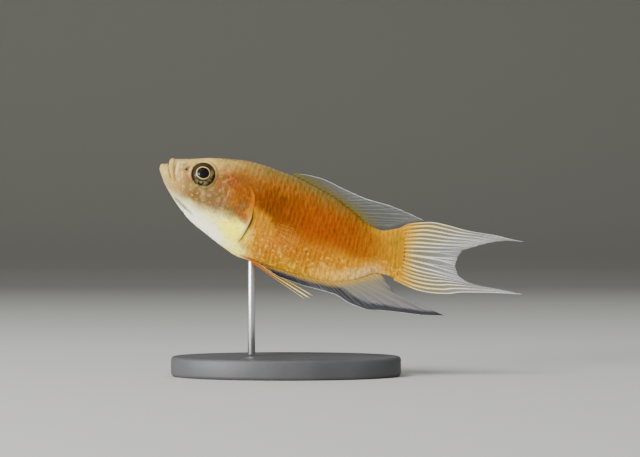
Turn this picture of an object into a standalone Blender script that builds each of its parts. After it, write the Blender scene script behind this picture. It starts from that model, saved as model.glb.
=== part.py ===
"""Paradise fish, golden form: a still, life-size model held on a plain display stand.

The fish is modelled level in its own frame, with x running back from the tip of the lower jaw, y to its
right and z up. One empty then pitches it nose up on the stand. Lengths are metres, +Z is up, and the
fish faces -X, so that its left flank faces -Y. The stand's foot is on z = 0.
"""

import math

import bmesh
import bpy
import numpy as np
from mathutils import Matrix, Vector

MM = 0.001

# The pose: the nose is up, the tail fin is lifted off the body's line, and the tail swings to the left.
PITCH = math.radians(20.3)
TAIL_LIFT = math.radians(12.8)
TAIL_SWING = 6.0 * MM
SWING_START = 22.0 * MM
SWING_END = 76.6 * MM
SWING_POWER = 1.8
JAW_TIP = Vector((-36.1, 0.0, 42.0)) * MM

# Pieces that meet keep this gap.
GAP = 0.3 * MM

# Body stations from the jaw to the tail base, in millimetres: the point of the back, the point of the
# belly under it, half the width, how far up the widest level lies, and how full the section is above
# and below that level (1 is an ellipse, less is boxy, more is keeled).
STATIONS = {
    "jaw tip": (-0.10, 0.30, -0.10, -0.45, 0.40, 0.50, 1.00, 1.00),
    "lower lip": (0.35, 0.62, 0.40, -1.15, 1.00, 0.50, 1.00, 1.00),
    "jaw floor": (1.00, 0.80, 1.25, -2.15, 1.40, 0.50, 0.95, 1.00),
    "gape": (1.36, 0.95, 1.75, -2.75, 1.55, 0.50, 0.90, 1.00),
    "upper lip": (1.46, 1.78, 2.15, -3.15, 1.66, 0.55, 0.85, 1.02),
    "snout": (3.27, 2.70, 3.82, -4.56, 2.10, 0.62, 0.78, 1.05),
    "nostril": (5.14, 3.40, 5.60, -5.92, 2.55, 0.66, 0.76, 1.08),
    "eye": (8.82, 4.97, 9.45, -8.23, 3.20, 0.68, 0.76, 1.10),
    "cheek": (12.66, 6.12, 13.20, -9.55, 3.75, 0.62, 0.82, 1.10),
    "nape": (16.55, 7.10, 17.00, -10.75, 4.10, 0.58, 0.88, 1.06),
    "gill edge": (20.60, 7.40, 21.00, -11.62, 4.25, 0.55, 0.92, 1.05),
    "belly": (25.00, 7.40, 25.00, -11.45, 4.15, 0.53, 0.95, 1.10),
    "mid flank": (30.00, 6.95, 30.00, -11.17, 3.75, 0.53, 1.00, 1.20),
    "rear flank": (35.00, 6.12, 35.30, -10.75, 3.05, 0.53, 1.00, 1.25),
    "flank end": (39.60, 4.70, 40.20, -9.75, 2.30, 0.52, 1.00, 1.25),
    "peduncle front": (43.00, 3.40, 44.60, -7.60, 1.72, 0.50, 1.00, 1.15),
    "peduncle": (45.60, 3.20, 48.00, -5.15, 1.30, 0.50, 1.00, 1.00),
    "tail root": (47.60, 4.05, 50.40, -4.70, 1.05, 0.50, 1.00, 1.00),
    "tail base": (49.60, 5.15, 52.30, -4.80, 0.75, 0.50, 1.00, 1.00),
}
ALONG = 36  # sides of a ring of the body
HEAD_FRONT_RINGS = (-0.1, 0.1, 0.375, 0.75, 1.125, 1.4, 1.555, 1.68, 1.8, 2.2, 2.8, 3.54)
RING_STEP = 1.15
TAIL_START = 38.5

# The gill cover's rear edge: height up the section against station. It stands proud of the flank.
GILL_EDGE = ((0.0, 18.6), (0.1, 19.5), (0.25, 20.3), (0.42, 20.8), (0.55, 20.5), (0.65, 20.0),
             (0.72, 19.0), (0.8, 17.2), (1.0, 15.2))
GILL_REAR = 20.8
GILL_RAISE = 0.35 * MM
GILL_SLOPE = 4.0
GILL_HEIGHTS = (0.06, 0.16, 0.70, 0.80)
GILL_FRONT = ((0.10, 16.4), (0.25, 15.0), (0.45, 14.3), (0.65, 14.9), (0.76, 16.2))
COVER_THICK = 0.9 * MM
COVER_EDGE_BEVEL = 0.8
COVER_ROWS, COVER_COLUMNS = 13, 7
SWEEP_POWER = 3.0
TRUNK_SWEEP_END = 28.0

# The eye: an oblate ball in a socket.
EYE_AT = Vector((8.79, 2.15, 1.48)) * MM
EYE_RADIUS = 2.4 * MM
EYE_DEPTH = 1.5 * MM
EYE_TOE_IN = math.radians(6.0)
EYE_TILT = math.radians(9.0)
LID_RADIUS = 0.22 * MM
LID_INSET = 0.08 * MM
LID_POINTS = 20

# The mouth: a slit from the top of the lower jaw down to the corner, with a lip on each side.
GAPE_TOP = (1.50, 0.95)
GAPE_CORNER = (3.00, -2.30)
MOUTH_BLOCK = 40 * MM
LIP_RADIUS = 0.36 * MM
LIP_CORNER_SHARE = 0.45
LIP_SPREAD = 0.42
LIP_INSET = 0.16 * MM
NOSTRILS = ((5.31, 1.22, 0.30), (4.33, 2.10, 0.22))

# Fins are sheets with the rays as ridges.
RAY_THICK = 0.9 * MM
MEMBRANE_SHARE = 0.58
EDGE_SHARE = 0.34
SCALLOP = 0.965
BOW_FADE = 1.5
WAVE = 0.45 * MM
WAVES = 1.3

DORSAL_RAYS, DORSAL_TIP_RAY = 21, 16
DORSAL_BASE = (25.4, 44.7)
DORSAL_MARGIN = ((25.75, 7.95), (28.8, 8.63), (31.5, 8.85), (36.0, 8.42), (41.0, 8.12), (46.0, 8.48),
                 (50.5, 8.30), (53.0, 8.05))
DORSAL_REAR = ((53.0, 8.05), (50.9, 6.85), (49.0, 5.60), (47.0, 4.25))
DORSAL_LEAN = (2.2, 3, 9.6, 3.0)

ANAL_RAYS, ANAL_TIP_RAY = 28, 23
ANAL_BASE = (26.2, 47.4)
ANAL_MARGIN = ((26.3, -11.95), (28.0, -12.3), (30.2, -12.58), (34.5, -12.55), (38.6, -12.15),
               (41.5, -11.95), (45.2, -12.6), (48.0, -12.65), (51.3, -11.75), (55.2, -10.75),
               (59.1, -9.8), (63.6, -8.3))
ANAL_REAR = ((63.6, -8.3), (60.8, -8.6), (57.0, -8.95), (54.4, -8.6), (52.6, -7.6), (51.0, -6.2),
             (49.7, -5.5))
ANAL_LEAN = (1.8, 4, 16.8, 5.0)

# The tail fin's lobes in the tail's own frame: distance back along it and away from its middle line.
LOBE_RAYS = 9
UPPER_OUTER = ((0.3, 5.0), (1.9, 6.1), (3.6, 6.6), (6.9, 7.1), (9.4, 6.85), (13.5, 6.3), (18.8, 6.1),
               (21.7, 5.75), (24.3, 5.55))
UPPER_INNER = ((24.3, 5.55), (21.1, 5.35), (18.8, 4.9), (16.2, 4.0), (14.2, 3.1), (12.2, 2.0), (11.5, 0.2))
LOWER_OUTER = ((0.3, 5.3), (3.1, 6.2), (5.2, 6.75), (7.5, 6.95), (11.2, 6.65), (13.2, 6.1), (17.1, 5.55),
               (21.1, 5.1), (25.4, 4.75))
LOWER_INNER = ((25.4, 4.75), (21.1, 4.4), (17.0, 4.2), (15.1, 4.0), (12.6, 3.0), (11.6, 1.6), (11.4, 0.2))
LOBE_SPREAD = 1.25
TAIL_CENTRE = Vector((50.75, 0.0, 0.15)) * MM

PECTORAL_RAYS = 10
PECTORAL_ROOT = ((21.9, -3.0), (22.4, -5.3))
PECTORAL_MARGIN = ((29.4, -2.2), (31.6, -4.4), (30.6, -6.8), (28.2, -8.5), (25.2, -8.3))
PECTORAL_SPLAY = 0.24

# Pelvic fins: two long rays side by side with a small fan of short ones above them. The points of the
# margin are the rays' tips and the bays between them, from the lowest ray up.
PELVIC_RAYS = 4
PELVIC_APART = 1.4
PELVIC_ROOT_X = (20.6, 22.6)
PELVIC_MARGIN = ((36.8, -15.0), (34.0, -14.1), (37.4, -14.4), (33.5, -13.3), (28.3, -12.15),
                 (27.0, -11.95), (26.8, -11.75))
PELVIC_THICK = 0.7 * MM
PELVIC_SPLAY = 0.03
PELVIC_RIGHT_SHIFT = (0.6, 0.5)

# The stand: an oval foot and one rod into the belly.
FOOT_SIZE = Vector((46.0, 28.0, 4.0)) * MM
FOOT_AT_X = -11.0 * MM
FOOT_BEVEL = 0.7 * MM
FOOT_SIDES = 64
ROD_RADIUS = 0.75 * MM
ROD_STATION = 23.6
ROD_DEPTH = 2.2 * MM
ROD_SIDES = 20

COLOURS = {
    "gill_cover": (0.52, 0.24, 0.02),
    "head": (0.56, 0.37, 0.17), "trunk": (0.58, 0.19, 0.01), "tail": (0.62, 0.32, 0.05),
    "eye": (0.02, 0.017, 0.015), "fin": (0.55, 0.53, 0.48), "fin_anal": (0.22, 0.21, 0.20),
    "fin_pelvic": (0.68, 0.26, 0.08), "stand_base": (0.42, 0.40, 0.37), "stand_rod": (0.62, 0.62, 0.62),
}


def smooth_step(low, high, value):
    """0 below low, 1 above high, with a smooth rise between."""
    share = min(max((value - low) / (high - low), 0.0), 1.0)
    return share * share * (3.0 - 2.0 * share)


def smooth_curve(xs, ys):
    """A curve through the points that never overshoots them (monotone cubic)."""
    xs, ys = np.array(xs, float), np.array(ys, float)
    steps = np.diff(xs)
    slopes = np.diff(ys) / steps
    tangents = np.zeros(len(xs))
    tangents[0], tangents[-1] = slopes[0], slopes[-1]
    for i in range(1, len(xs) - 1):
        if slopes[i - 1] * slopes[i] > 0:
            before = 2 * steps[i] + steps[i - 1]
            after = steps[i] + 2 * steps[i - 1]
            tangents[i] = (before + after) / (before / slopes[i - 1] + after / slopes[i])

    def at(x):
        x = min(max(x, xs[0]), xs[-1])
        i = min(int(np.searchsorted(xs, x, side="right")) - 1, len(steps) - 1)
        t = (x - xs[i]) / steps[i]
        return float(
            ys[i] * (1 + 2 * t) * (1 - t) ** 2
            + tangents[i] * steps[i] * t * (1 - t) ** 2
            + ys[i + 1] * t * t * (3 - 2 * t)
            - tangents[i + 1] * steps[i] * t * t * (1 - t)
        )

    return at


def plane_curve(points):
    """A smooth plane curve through the points, as a function of the share 0 to 1 of its length."""
    points = np.array(points, float)
    far = np.concatenate([[0.0], np.cumsum(np.linalg.norm(np.diff(points, axis=0), axis=1))])
    across = [smooth_curve(far / far[-1], points[:, k]) for k in range(points.shape[1])]
    return lambda share: np.array([f(share) for f in across])


ROWS = np.array(list(STATIONS.values()))
STATION_AT = (ROWS[:, 0] + ROWS[:, 2]) / 2
TAIL_END = float(STATION_AT[-1])
SHAPES = [smooth_curve(STATION_AT, ROWS[:, k]) for k in range(ROWS.shape[1])]
gill_station = smooth_curve(*zip(*GILL_EDGE))
gill_front = smooth_curve(*zip(*GILL_FRONT))


def swing(x):
    """How far the body's middle plane is swung to the left at x, all in metres."""
    share = min(max((x - SWING_START) / (SWING_END - SWING_START), 0.0), 1.0)
    return -TAIL_SWING * share**SWING_POWER


def back_at(station):
    """The point of the back at a station, as (x, z) in millimetres."""
    return np.array([SHAPES[0](station), SHAPES[1](station)])


def belly_at(station):
    return np.array([SHAPES[2](station), SHAPES[3](station)])


def section_point(station, angle, proud=0.0):
    """A point of the body's surface. The angle runs from the back, 0, down the left side to the belly."""
    back, belly = back_at(station), belly_at(station)
    width, widest, upper, lower = (f(station) for f in SHAPES[4:])
    cosine, sine = math.cos(angle), math.sin(angle)
    height = widest + cosine * ((1 - widest) if cosine > 0 else widest)
    power = upper if cosine > 0 else lower
    x, z = belly + (back - belly) * height
    out = width * abs(sine) ** power * MM + proud * min(1.0, abs(sine) * 2)
    side = -1.0 if sine > 0 else 1.0
    return Vector((x * MM, side * out + swing(x * MM), z * MM))


def height_of(station, angle):
    cosine = math.cos(angle)
    widest = SHAPES[5](station)
    return widest + cosine * ((1 - widest) if cosine > 0 else widest)


def angle_at(station, height):
    """The left side's angle that lies this share of the way up the section."""
    widest = SHAPES[5](station)
    return math.acos((height - widest) / ((1 - widest) if height > widest else widest))


def half_width_at(x, z):
    """Half the body's width, in metres, on a line across it at (x, z) in millimetres."""
    low, high = float(STATION_AT[0]), TAIL_END
    for _ in range(40):
        middle = (low + high) / 2
        belly = belly_at(middle)
        rise = back_at(middle) - belly
        behind = rise[1] * (x - belly[0]) - rise[0] * (z - belly[1])
        low, high = (middle, high) if behind > 0 else (low, middle)
    belly = belly_at(low)
    rise = back_at(low) - belly
    height = float(np.dot(np.array([x, z]) - belly, rise) / np.dot(rise, rise))
    width, widest, upper, lower = (f(low) for f in SHAPES[4:])
    cosine = (height - widest) / (1 - widest) if height > widest else (widest - height) / widest
    if cosine >= 1:
        return 0.0
    return width * (1 - cosine * cosine) ** ((upper if height > widest else lower) / 2) * MM


def material(name, colour, roughness=0.45, metallic=0.0):
    made = bpy.data.materials.new(name)
    made.use_nodes = True
    shader = made.node_tree.nodes["Principled BSDF"]
    shader.inputs["Base Color"].default_value = (*colour, 1.0)
    shader.inputs["Roughness"].default_value = roughness
    shader.inputs["Metallic"].default_value = metallic
    return made


def keep(obj, group, finish, parent=None):
    """Moves a finished piece to the fish's collection, with its material and what carries it."""
    for owner in list(obj.users_collection):
        owner.objects.unlink(obj)
    group.objects.link(obj)
    obj.data.materials.clear()
    obj.data.materials.append(finish)
    obj.parent = parent


def loft(name, rings):
    """A closed mesh through rings of points, each end closed by a fan to its middle."""
    bm = bmesh.new()
    sides = len(rings[0])
    rows = [[bm.verts.new(point) for point in ring] for ring in rings]
    for first, second in zip(rows, rows[1:]):
        for k in range(sides):
            bm.faces.new((first[k], first[(k + 1) % sides], second[(k + 1) % sides], second[k]))
    for row, front in ((rows[0], True), (rows[-1], False)):
        middle = bm.verts.new(sum((v.co for v in row), Vector()) / sides)
        for k in range(sides):
            pair = (row[k], row[(k + 1) % sides])
            bm.faces.new((middle, *(reversed(pair) if front else pair)))
    bmesh.ops.recalc_face_normals(bm, faces=bm.faces)
    mesh = bpy.data.meshes.new(name)
    bm.to_mesh(mesh)
    bm.free()
    mesh.shade_smooth()
    return mesh


def ring_angles():
    return [2 * math.pi * k / ALONG for k in range(ALONG)]


def swept(station, angle, near_rear):
    """The station moved to follow the gill cover's edge, fully where near_rear is 1."""
    height = height_of(GILL_REAR, angle)
    return station + (gill_station(height) - GILL_REAR) * near_rear


def gill_proud(station, angle):
    """How far the gill cover stands out of the flank's own surface."""
    height = height_of(GILL_REAR, angle)
    low, low_full, high_full, high = GILL_HEIGHTS
    window = smooth_step(low, low_full, height) * (1 - smooth_step(high_full, high, height))
    rear = gill_station(height)
    return GILL_RAISE * window * smooth_step(rear - GILL_SLOPE, rear, station)


def even_stations(start, end):
    return np.linspace(start, end, max(2, round((end - start) / RING_STEP) + 1))


def head_mesh():
    stations = [*HEAD_FRONT_RINGS, *even_stations(HEAD_FRONT_RINGS[-1], GILL_REAR)[1:]]
    rings = []
    for station in stations:
        near_rear = (max(station, 0) / GILL_REAR) ** SWEEP_POWER
        ring = []
        for angle in ring_angles():
            at = swept(station, angle, near_rear)
            ring.append(section_point(at, angle, gill_proud(at, angle)))
        rings.append(ring)
    return loft("head", rings)


def cover_piece(name, side, thick, room):
    """A gill cover, or with room about it the pocket that holds one: a curved plate of the head's side."""
    low, high = GILL_FRONT[0][0], GILL_FRONT[-1][0]
    depth = (SHAPES[1](GILL_REAR) - SHAPES[3](GILL_REAR)) * MM
    rings = []
    for height in np.linspace(low - room / depth, high + room / depth, COVER_ROWS):
        front = gill_front(height) - room / MM
        rear = gill_station(height) + 4 * room / MM
        outer = [(s, gill_proud(s, angle_at(s, height)) + 4 * room)
                 for s in np.linspace(front, rear, COVER_COLUMNS)]
        inner = [(s, -thick) for s in np.linspace(rear - COVER_EDGE_BEVEL, front, COVER_COLUMNS)]
        rings.append([section_point(s, -side * angle_at(s, height), out) for s, out in outer + inner])
    return loose_object(name, loft(name, rings))


def trunk_mesh():
    rings = []
    start = GILL_REAR + GAP / MM
    for station in even_stations(start, TAIL_START):
        near_rear = max(0.0, (TRUNK_SWEEP_END - station) / (TRUNK_SWEEP_END - start)) ** 2
        rings.append([section_point(swept(station, a, near_rear), a) for a in ring_angles()])
    return loft("trunk", rings)


def tail_mesh():
    stations = even_stations(TAIL_START + GAP / MM, TAIL_END)
    return loft("tail", [[section_point(s, a) for a in ring_angles()] for s in stations])


def tube_piece(name, points, radius, shares=None, closed=False):
    """A closed mesh tube along the points, made as a bevelled curve. shares thins it point by point."""
    curve = bpy.data.curves.new(name, "CURVE")
    curve.dimensions = "3D"
    curve.bevel_depth = radius
    curve.bevel_resolution = 1
    curve.use_fill_caps = True
    spline = curve.splines.new("POLY")
    spline.use_cyclic_u = closed
    spline.points.add(len(points) - 1)
    for k, point in enumerate(points):
        spline.points[k].co = (*point, 1.0)
        spline.points[k].radius = shares[k] if shares else 1.0
    source = bpy.data.objects.new(name, curve)
    bpy.context.scene.collection.objects.link(source)
    bpy.context.view_layer.update()
    mesh = bpy.data.meshes.new_from_object(source.evaluated_get(bpy.context.evaluated_depsgraph_get()))
    bpy.data.objects.remove(source)
    bm = bmesh.new()
    bm.from_mesh(mesh)
    bmesh.ops.remove_doubles(bm, verts=bm.verts, dist=0.001 * MM)
    bmesh.ops.recalc_face_normals(bm, faces=bm.faces)
    bm.to_mesh(mesh)
    bm.free()
    return loose_object(name, mesh)


def loose_object(name, mesh):
    obj = bpy.data.objects.new(name, mesh)
    bpy.context.scene.collection.objects.link(obj)
    return obj


def ball_piece(name, centre, radii, turn=0.0, tilt=0.0, sides=24):
    """An oblate ball whose poles lie along y, turned about z and then tilted about x."""
    bm = bmesh.new()
    bmesh.ops.create_uvsphere(bm, u_segments=sides, v_segments=sides // 2, radius=1.0)
    turned = Matrix.Rotation(tilt, 4, "X") @ Matrix.Rotation(turn, 4, "Z")
    placed = Matrix.Translation(centre) @ turned @ Matrix.Diagonal((*radii, 1.0))
    bmesh.ops.transform(bm, matrix=placed @ Matrix.Rotation(math.pi / 2, 4, "X"), verts=bm.verts)
    mesh = bpy.data.meshes.new(name)
    bm.to_mesh(mesh)
    bm.free()
    mesh.shade_smooth()
    return loose_object(name, mesh)


def combine(target, operation, pieces):
    """Joins the pieces to the target, or cuts them from it, and keeps the largest closed surface."""
    group = bpy.data.collections.new(target.name + "_pieces")
    bpy.context.scene.collection.children.link(group)
    for piece in pieces:
        for owner in list(piece.users_collection):
            owner.objects.unlink(piece)
        group.objects.link(piece)
    modifier = target.modifiers.new(operation, "BOOLEAN")
    modifier.operation = operation
    modifier.operand_type = "COLLECTION"
    modifier.collection = group
    modifier.solver = "EXACT"
    bpy.context.view_layer.update()
    done = target.evaluated_get(bpy.context.evaluated_depsgraph_get())
    target.data = bpy.data.meshes.new_from_object(done)
    target.modifiers.clear()
    for piece in pieces:
        bpy.data.objects.remove(piece)
    bpy.data.collections.remove(group)
    keep_largest(target.data)


def keep_largest(mesh):
    bm = bmesh.new()
    bm.from_mesh(mesh)
    left, islands = set(bm.verts), []
    while left:
        edge_of_search = [left.pop()]
        island = set(edge_of_search)
        while edge_of_search:
            vertex = edge_of_search.pop()
            for edge in vertex.link_edges:
                other = edge.other_vert(vertex)
                if other in left:
                    left.discard(other)
                    island.add(other)
                    edge_of_search.append(other)
        islands.append(island)
    islands.sort(key=len)
    for island in islands[:-1]:
        bmesh.ops.delete(bm, geom=list(island), context="VERTS")
    bm.to_mesh(mesh)
    bm.free()


def eye_centre(side):
    return Vector((EYE_AT.x, side * EYE_AT.y, EYE_AT.z))


def eye_object(side, name, extra=0.0):
    radii = (EYE_RADIUS + extra, EYE_DEPTH + extra, EYE_RADIUS + extra)
    return ball_piece(name, eye_centre(side), radii, side * EYE_TOE_IN, side * EYE_TILT)


def lid_piece(side):
    """The rim of skin round the eye, a ring that follows the head's own surface."""
    points = []
    for turn in np.linspace(0, 2 * math.pi, LID_POINTS, endpoint=False):
        x = EYE_AT.x + (EYE_RADIUS + GAP) * math.cos(turn)
        z = EYE_AT.z + (EYE_RADIUS + GAP) * math.sin(turn)
        out = half_width_at(x / MM, z / MM) - LID_INSET
        points.append((x, side * out, z))
    return tube_piece(f"lid_{side}", points, LID_RADIUS, closed=True)


def mouth_block(name, before):
    """All that lies before the mouth's plane, or behind it, less half the gap between head and jaw."""
    top, corner = np.array(GAPE_TOP), np.array(GAPE_CORNER)
    down = (corner - top) / np.linalg.norm(corner - top)
    ahead = np.array([down[1], -down[0]]) * (1 if before else -1)
    middle = top + ahead * (MOUTH_BLOCK - GAP) / MM / 2
    bm = bmesh.new()
    bmesh.ops.create_cube(bm, size=MOUTH_BLOCK)
    lean = Matrix.Rotation(math.atan2(-down[0], -down[1]), 4, "Y")
    placed = Matrix.Translation((middle[0] * MM, 0, middle[1] * MM)) @ lean
    bmesh.ops.transform(bm, matrix=placed, verts=bm.verts)
    mesh = bpy.data.meshes.new(name)
    bm.to_mesh(mesh)
    bm.free()
    return loose_object(name, mesh)


def lip_piece(name, before):
    """A tube round the mouth's edge, before the slit for the lower lip and behind it for the upper."""
    top, corner = np.array(GAPE_TOP), np.array(GAPE_CORNER)
    down = (corner - top) / np.linalg.norm(corner - top)
    aside = np.array([-down[1], down[0]]) * (-LIP_SPREAD if before else LIP_SPREAD)
    half = []
    for share in np.linspace(0, 1, 9) ** 1.7:
        x, z = top + (corner - top) * (0.02 + 0.98 * share) + aside * (1 - 0.35 * share**3)
        out = half_width_at(x, z) - LIP_INSET
        if out > 0:
            half.append((Vector((x * MM, out, z * MM)), 1 + (LIP_CORNER_SHARE - 1) * share**2))
    left = [(Vector((p.x, -p.y, p.z)), thin) for p, thin in reversed(half)]
    points, shares = zip(*(left + half))
    return tube_piece(name, points, LIP_RADIUS, shares)


def nostril_pieces():
    pieces = []
    for k, (x, z, radius) in enumerate(NOSTRILS):
        out = half_width_at(x, z)
        for side in (-1, 1):
            centre = Vector((x * MM, side * out, z * MM))
            pieces.append(ball_piece(f"nostril_{k}_{side}", centre, (radius * MM,) * 3, sides=10))
    return pieces


def fin_sheet(name, base, margin, rays, rows, first_bow=None, across=None, thick=RAY_THICK, scallop=SCALLOP):
    """A fin as one closed sheet: base and margin give a point in the middle plane for each share of the
    fin's length, each ray runs from one to the other as a ridge, and across sets it off that plane."""
    columns = 2 * rays - 1
    bm = bmesh.new()
    bmesh.ops.create_grid(bm, x_segments=columns - 1, y_segments=rows, size=0.5)
    bm.verts.ensure_lookup_table()
    weights = []
    for vertex in bm.verts:
        column = round((vertex.co.x + 0.5) * (columns - 1))
        row = round((vertex.co.y + 0.5) * rows)
        share, out = column / (columns - 1), row / rows
        on_ray = column % 2 == 0
        reach = out * (1.0 if on_ray or row < rows else scallop)
        x, z = base(share) * (1 - reach) + margin(share) * reach
        if first_bow:
            shift = first_bow(reach) * (1 - share) ** BOW_FADE
            x, z = x + shift[0], z + shift[1]
        wave = WAVE * reach * reach * math.sin(2 * math.pi * WAVES * share)
        y = swing(x * MM) + wave if across is None else across(x, z, share, reach)
        vertex.co = (x * MM, y, z * MM)
        root = 1.0 if on_ray else MEMBRANE_SHARE
        weights.append(root + (EDGE_SHARE - root) * smooth_step(0.55, 1.0, out))
    bmesh.ops.triangulate(bm, faces=bm.faces, quad_method="FIXED")
    mesh = bpy.data.meshes.new(name)
    bm.to_mesh(mesh)
    bm.free()
    obj = loose_object(name, mesh)
    thickness = obj.vertex_groups.new(name="thickness")
    for index, weight in enumerate(weights):
        thickness.add([index], weight, "REPLACE")
    solid = obj.modifiers.new("thickness", "SOLIDIFY")
    solid.thickness = thick
    solid.offset = 0.0
    solid.vertex_group = "thickness"
    bpy.context.view_layer.update()
    done = obj.evaluated_get(bpy.context.evaluated_depsgraph_get())
    obj.data = bpy.data.meshes.new_from_object(done)
    obj.modifiers.clear()
    bm = bmesh.new()
    bm.from_mesh(obj.data)
    bmesh.ops.recalc_face_normals(bm, faces=bm.faces)
    bm.to_mesh(obj.data)
    bm.free()
    return obj


def leaning_margin(front, rear, base_length, rays, tip_ray, lean):
    """The margin against the fin's share: rays lean back more towards the lobe's tip, then step down the
    rear edge. lean is the front rays' lean, the rays it takes to build up, the lobe's extra lean and the
    power it grows by."""
    front_curve, rear_curve = plane_curve(front), plane_curve(rear)
    first, build, extra, power = lean
    whole = base_length * tip_ray / (rays - 1) + first + extra

    def margin(share):
        ray = share * (rays - 1)
        if ray > tip_ray:
            return rear_curve((ray - tip_ray) / (rays - 1 - tip_ray))
        leaned = first * min(1.0, ray / build) + extra * (ray / tip_ray) ** power
        return front_curve((base_length * ray / (rays - 1) + leaned) / whole)

    return margin


def dorsal_fin():
    start, end = DORSAL_BASE

    def base(share):
        return back_at(start + (end - start) * share) + np.array([0.05, GAP / MM + 0.02])

    margin = leaning_margin(DORSAL_MARGIN, DORSAL_REAR, end - start, DORSAL_RAYS, DORSAL_TIP_RAY, DORSAL_LEAN)
    return fin_sheet("fin_dorsal", base, margin, DORSAL_RAYS, 7)


def anal_fin():
    start, end = ANAL_BASE

    def base(share):
        return belly_at(start + (end - start) * share) - np.array([-0.05, GAP / MM + 0.05])

    margin = leaning_margin(ANAL_MARGIN, ANAL_REAR, end - start, ANAL_RAYS, ANAL_TIP_RAY, ANAL_LEAN)
    return fin_sheet("fin_anal", base, margin, ANAL_RAYS, 7)


def tail_lobe(name, up, outer_edge, inner_edge):
    """One lobe of the lyre-shaped tail fin, the upper where up is 1 and the lower where it is -1."""
    cosine, sine = math.cos(TAIL_LIFT), math.sin(TAIL_LIFT)
    centre = np.array([TAIL_CENTRE.x, TAIL_CENTRE.z]) / MM
    outer, inner = plane_curve(outer_edge), plane_curve(inner_edge)
    end_back, end_belly = back_at(TAIL_END), belly_at(TAIL_END)

    def in_body(point):
        t, n = point[0], point[1] * up
        return centre + np.array([t * cosine - n * sine, t * sine + n * cosine])

    def base(share):
        level = 0.5 + up * (0.47 * (1 - share) + 0.018 * share)
        rear = end_belly + (end_back - end_belly) * level
        return rear + np.array([cosine, sine]) * (GAP / MM + 0.02)

    def margin(share):
        return in_body(inner(share**LOBE_SPREAD))

    def bow(reach):
        chord = base(0.0) * (1 - reach) + margin(0.0) * reach
        return in_body(outer(reach)) - chord if 0 < reach < 1 else np.zeros(2)

    return fin_sheet(name, base, margin, LOBE_RAYS, 11, bow)


def pectoral_fin(name, side):
    root = plane_curve(PECTORAL_ROOT)
    margin = plane_curve(PECTORAL_MARGIN)
    stand_off = GAP + RAY_THICK / 2

    def across(x, z, share, reach):
        start = root(share)
        away = math.hypot(x - start[0], z - start[1])
        hugging = half_width_at(start[0], start[1]) + stand_off
        return side * (hugging + PECTORAL_SPLAY * away * MM) + swing(start[0] * MM)

    return fin_sheet(name, root, margin, PECTORAL_RAYS, 6, across=across)


def belly_under(x, apart):
    """How high the belly's surface is at x, at this distance to the side of its middle line."""
    low, high = float(STATIONS["gill edge"][3]) - 1.0, 0.0
    for _ in range(40):
        middle = (low + high) / 2
        low, high = (low, middle) if half_width_at(x, middle) > apart * MM else (middle, high)
    return low


def pelvic_fin(name, side):
    start, end = PELVIC_ROOT_X
    shift = np.array(PELVIC_RIGHT_SHIFT if side > 0 else (0.0, 0.0))
    stand_off = GAP / MM + 0.02

    def root(share):
        x = start + (end - start) * share
        return np.array([x, belly_under(x, PELVIC_APART) - stand_off])

    def margin(share):
        return np.array(PELVIC_MARGIN[round(share * (len(PELVIC_MARGIN) - 1))]) + shift

    def across(x, z, share, reach):
        return side * (PELVIC_APART + PELVIC_SPLAY * (x - start)) * MM + swing(x * MM)

    return fin_sheet(name, root, margin, PELVIC_RAYS, 8, across=across, thick=PELVIC_THICK, scallop=1.0)


def foot_object():
    bpy.ops.mesh.primitive_cylinder_add(vertices=FOOT_SIDES, radius=0.5, depth=1.0)
    foot = bpy.context.object
    foot.name = foot.data.name = "stand_base"
    foot.data.transform(Matrix.Diagonal((*FOOT_SIZE, 1.0)))
    foot.location = (FOOT_AT_X, 0, FOOT_SIZE.z / 2)
    bevel = foot.modifiers.new("rounded edges", "BEVEL")
    bevel.width = FOOT_BEVEL
    bevel.segments = 2
    bevel.angle_limit = math.radians(40)
    return foot


def rod_place():
    """Where the rod meets the belly, in the world."""
    x, z = belly_at(ROD_STATION)
    return JAW_TIP + Matrix.Rotation(PITCH, 3, "Y") @ Vector((x * MM, swing(x * MM), z * MM))


def rod_mesh(name, radius, low, high):
    bm = bmesh.new()
    bmesh.ops.create_cone(
        bm, cap_ends=True, segments=ROD_SIDES, radius1=radius, radius2=radius, depth=high - low
    )
    bmesh.ops.translate(bm, verts=bm.verts, vec=(0, 0, (low + high) / 2))
    mesh = bpy.data.meshes.new(name)
    bm.to_mesh(mesh)
    bm.free()
    mesh.shade_smooth()
    mesh.set_sharp_from_angle(angle=math.radians(40))
    return mesh


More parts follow.
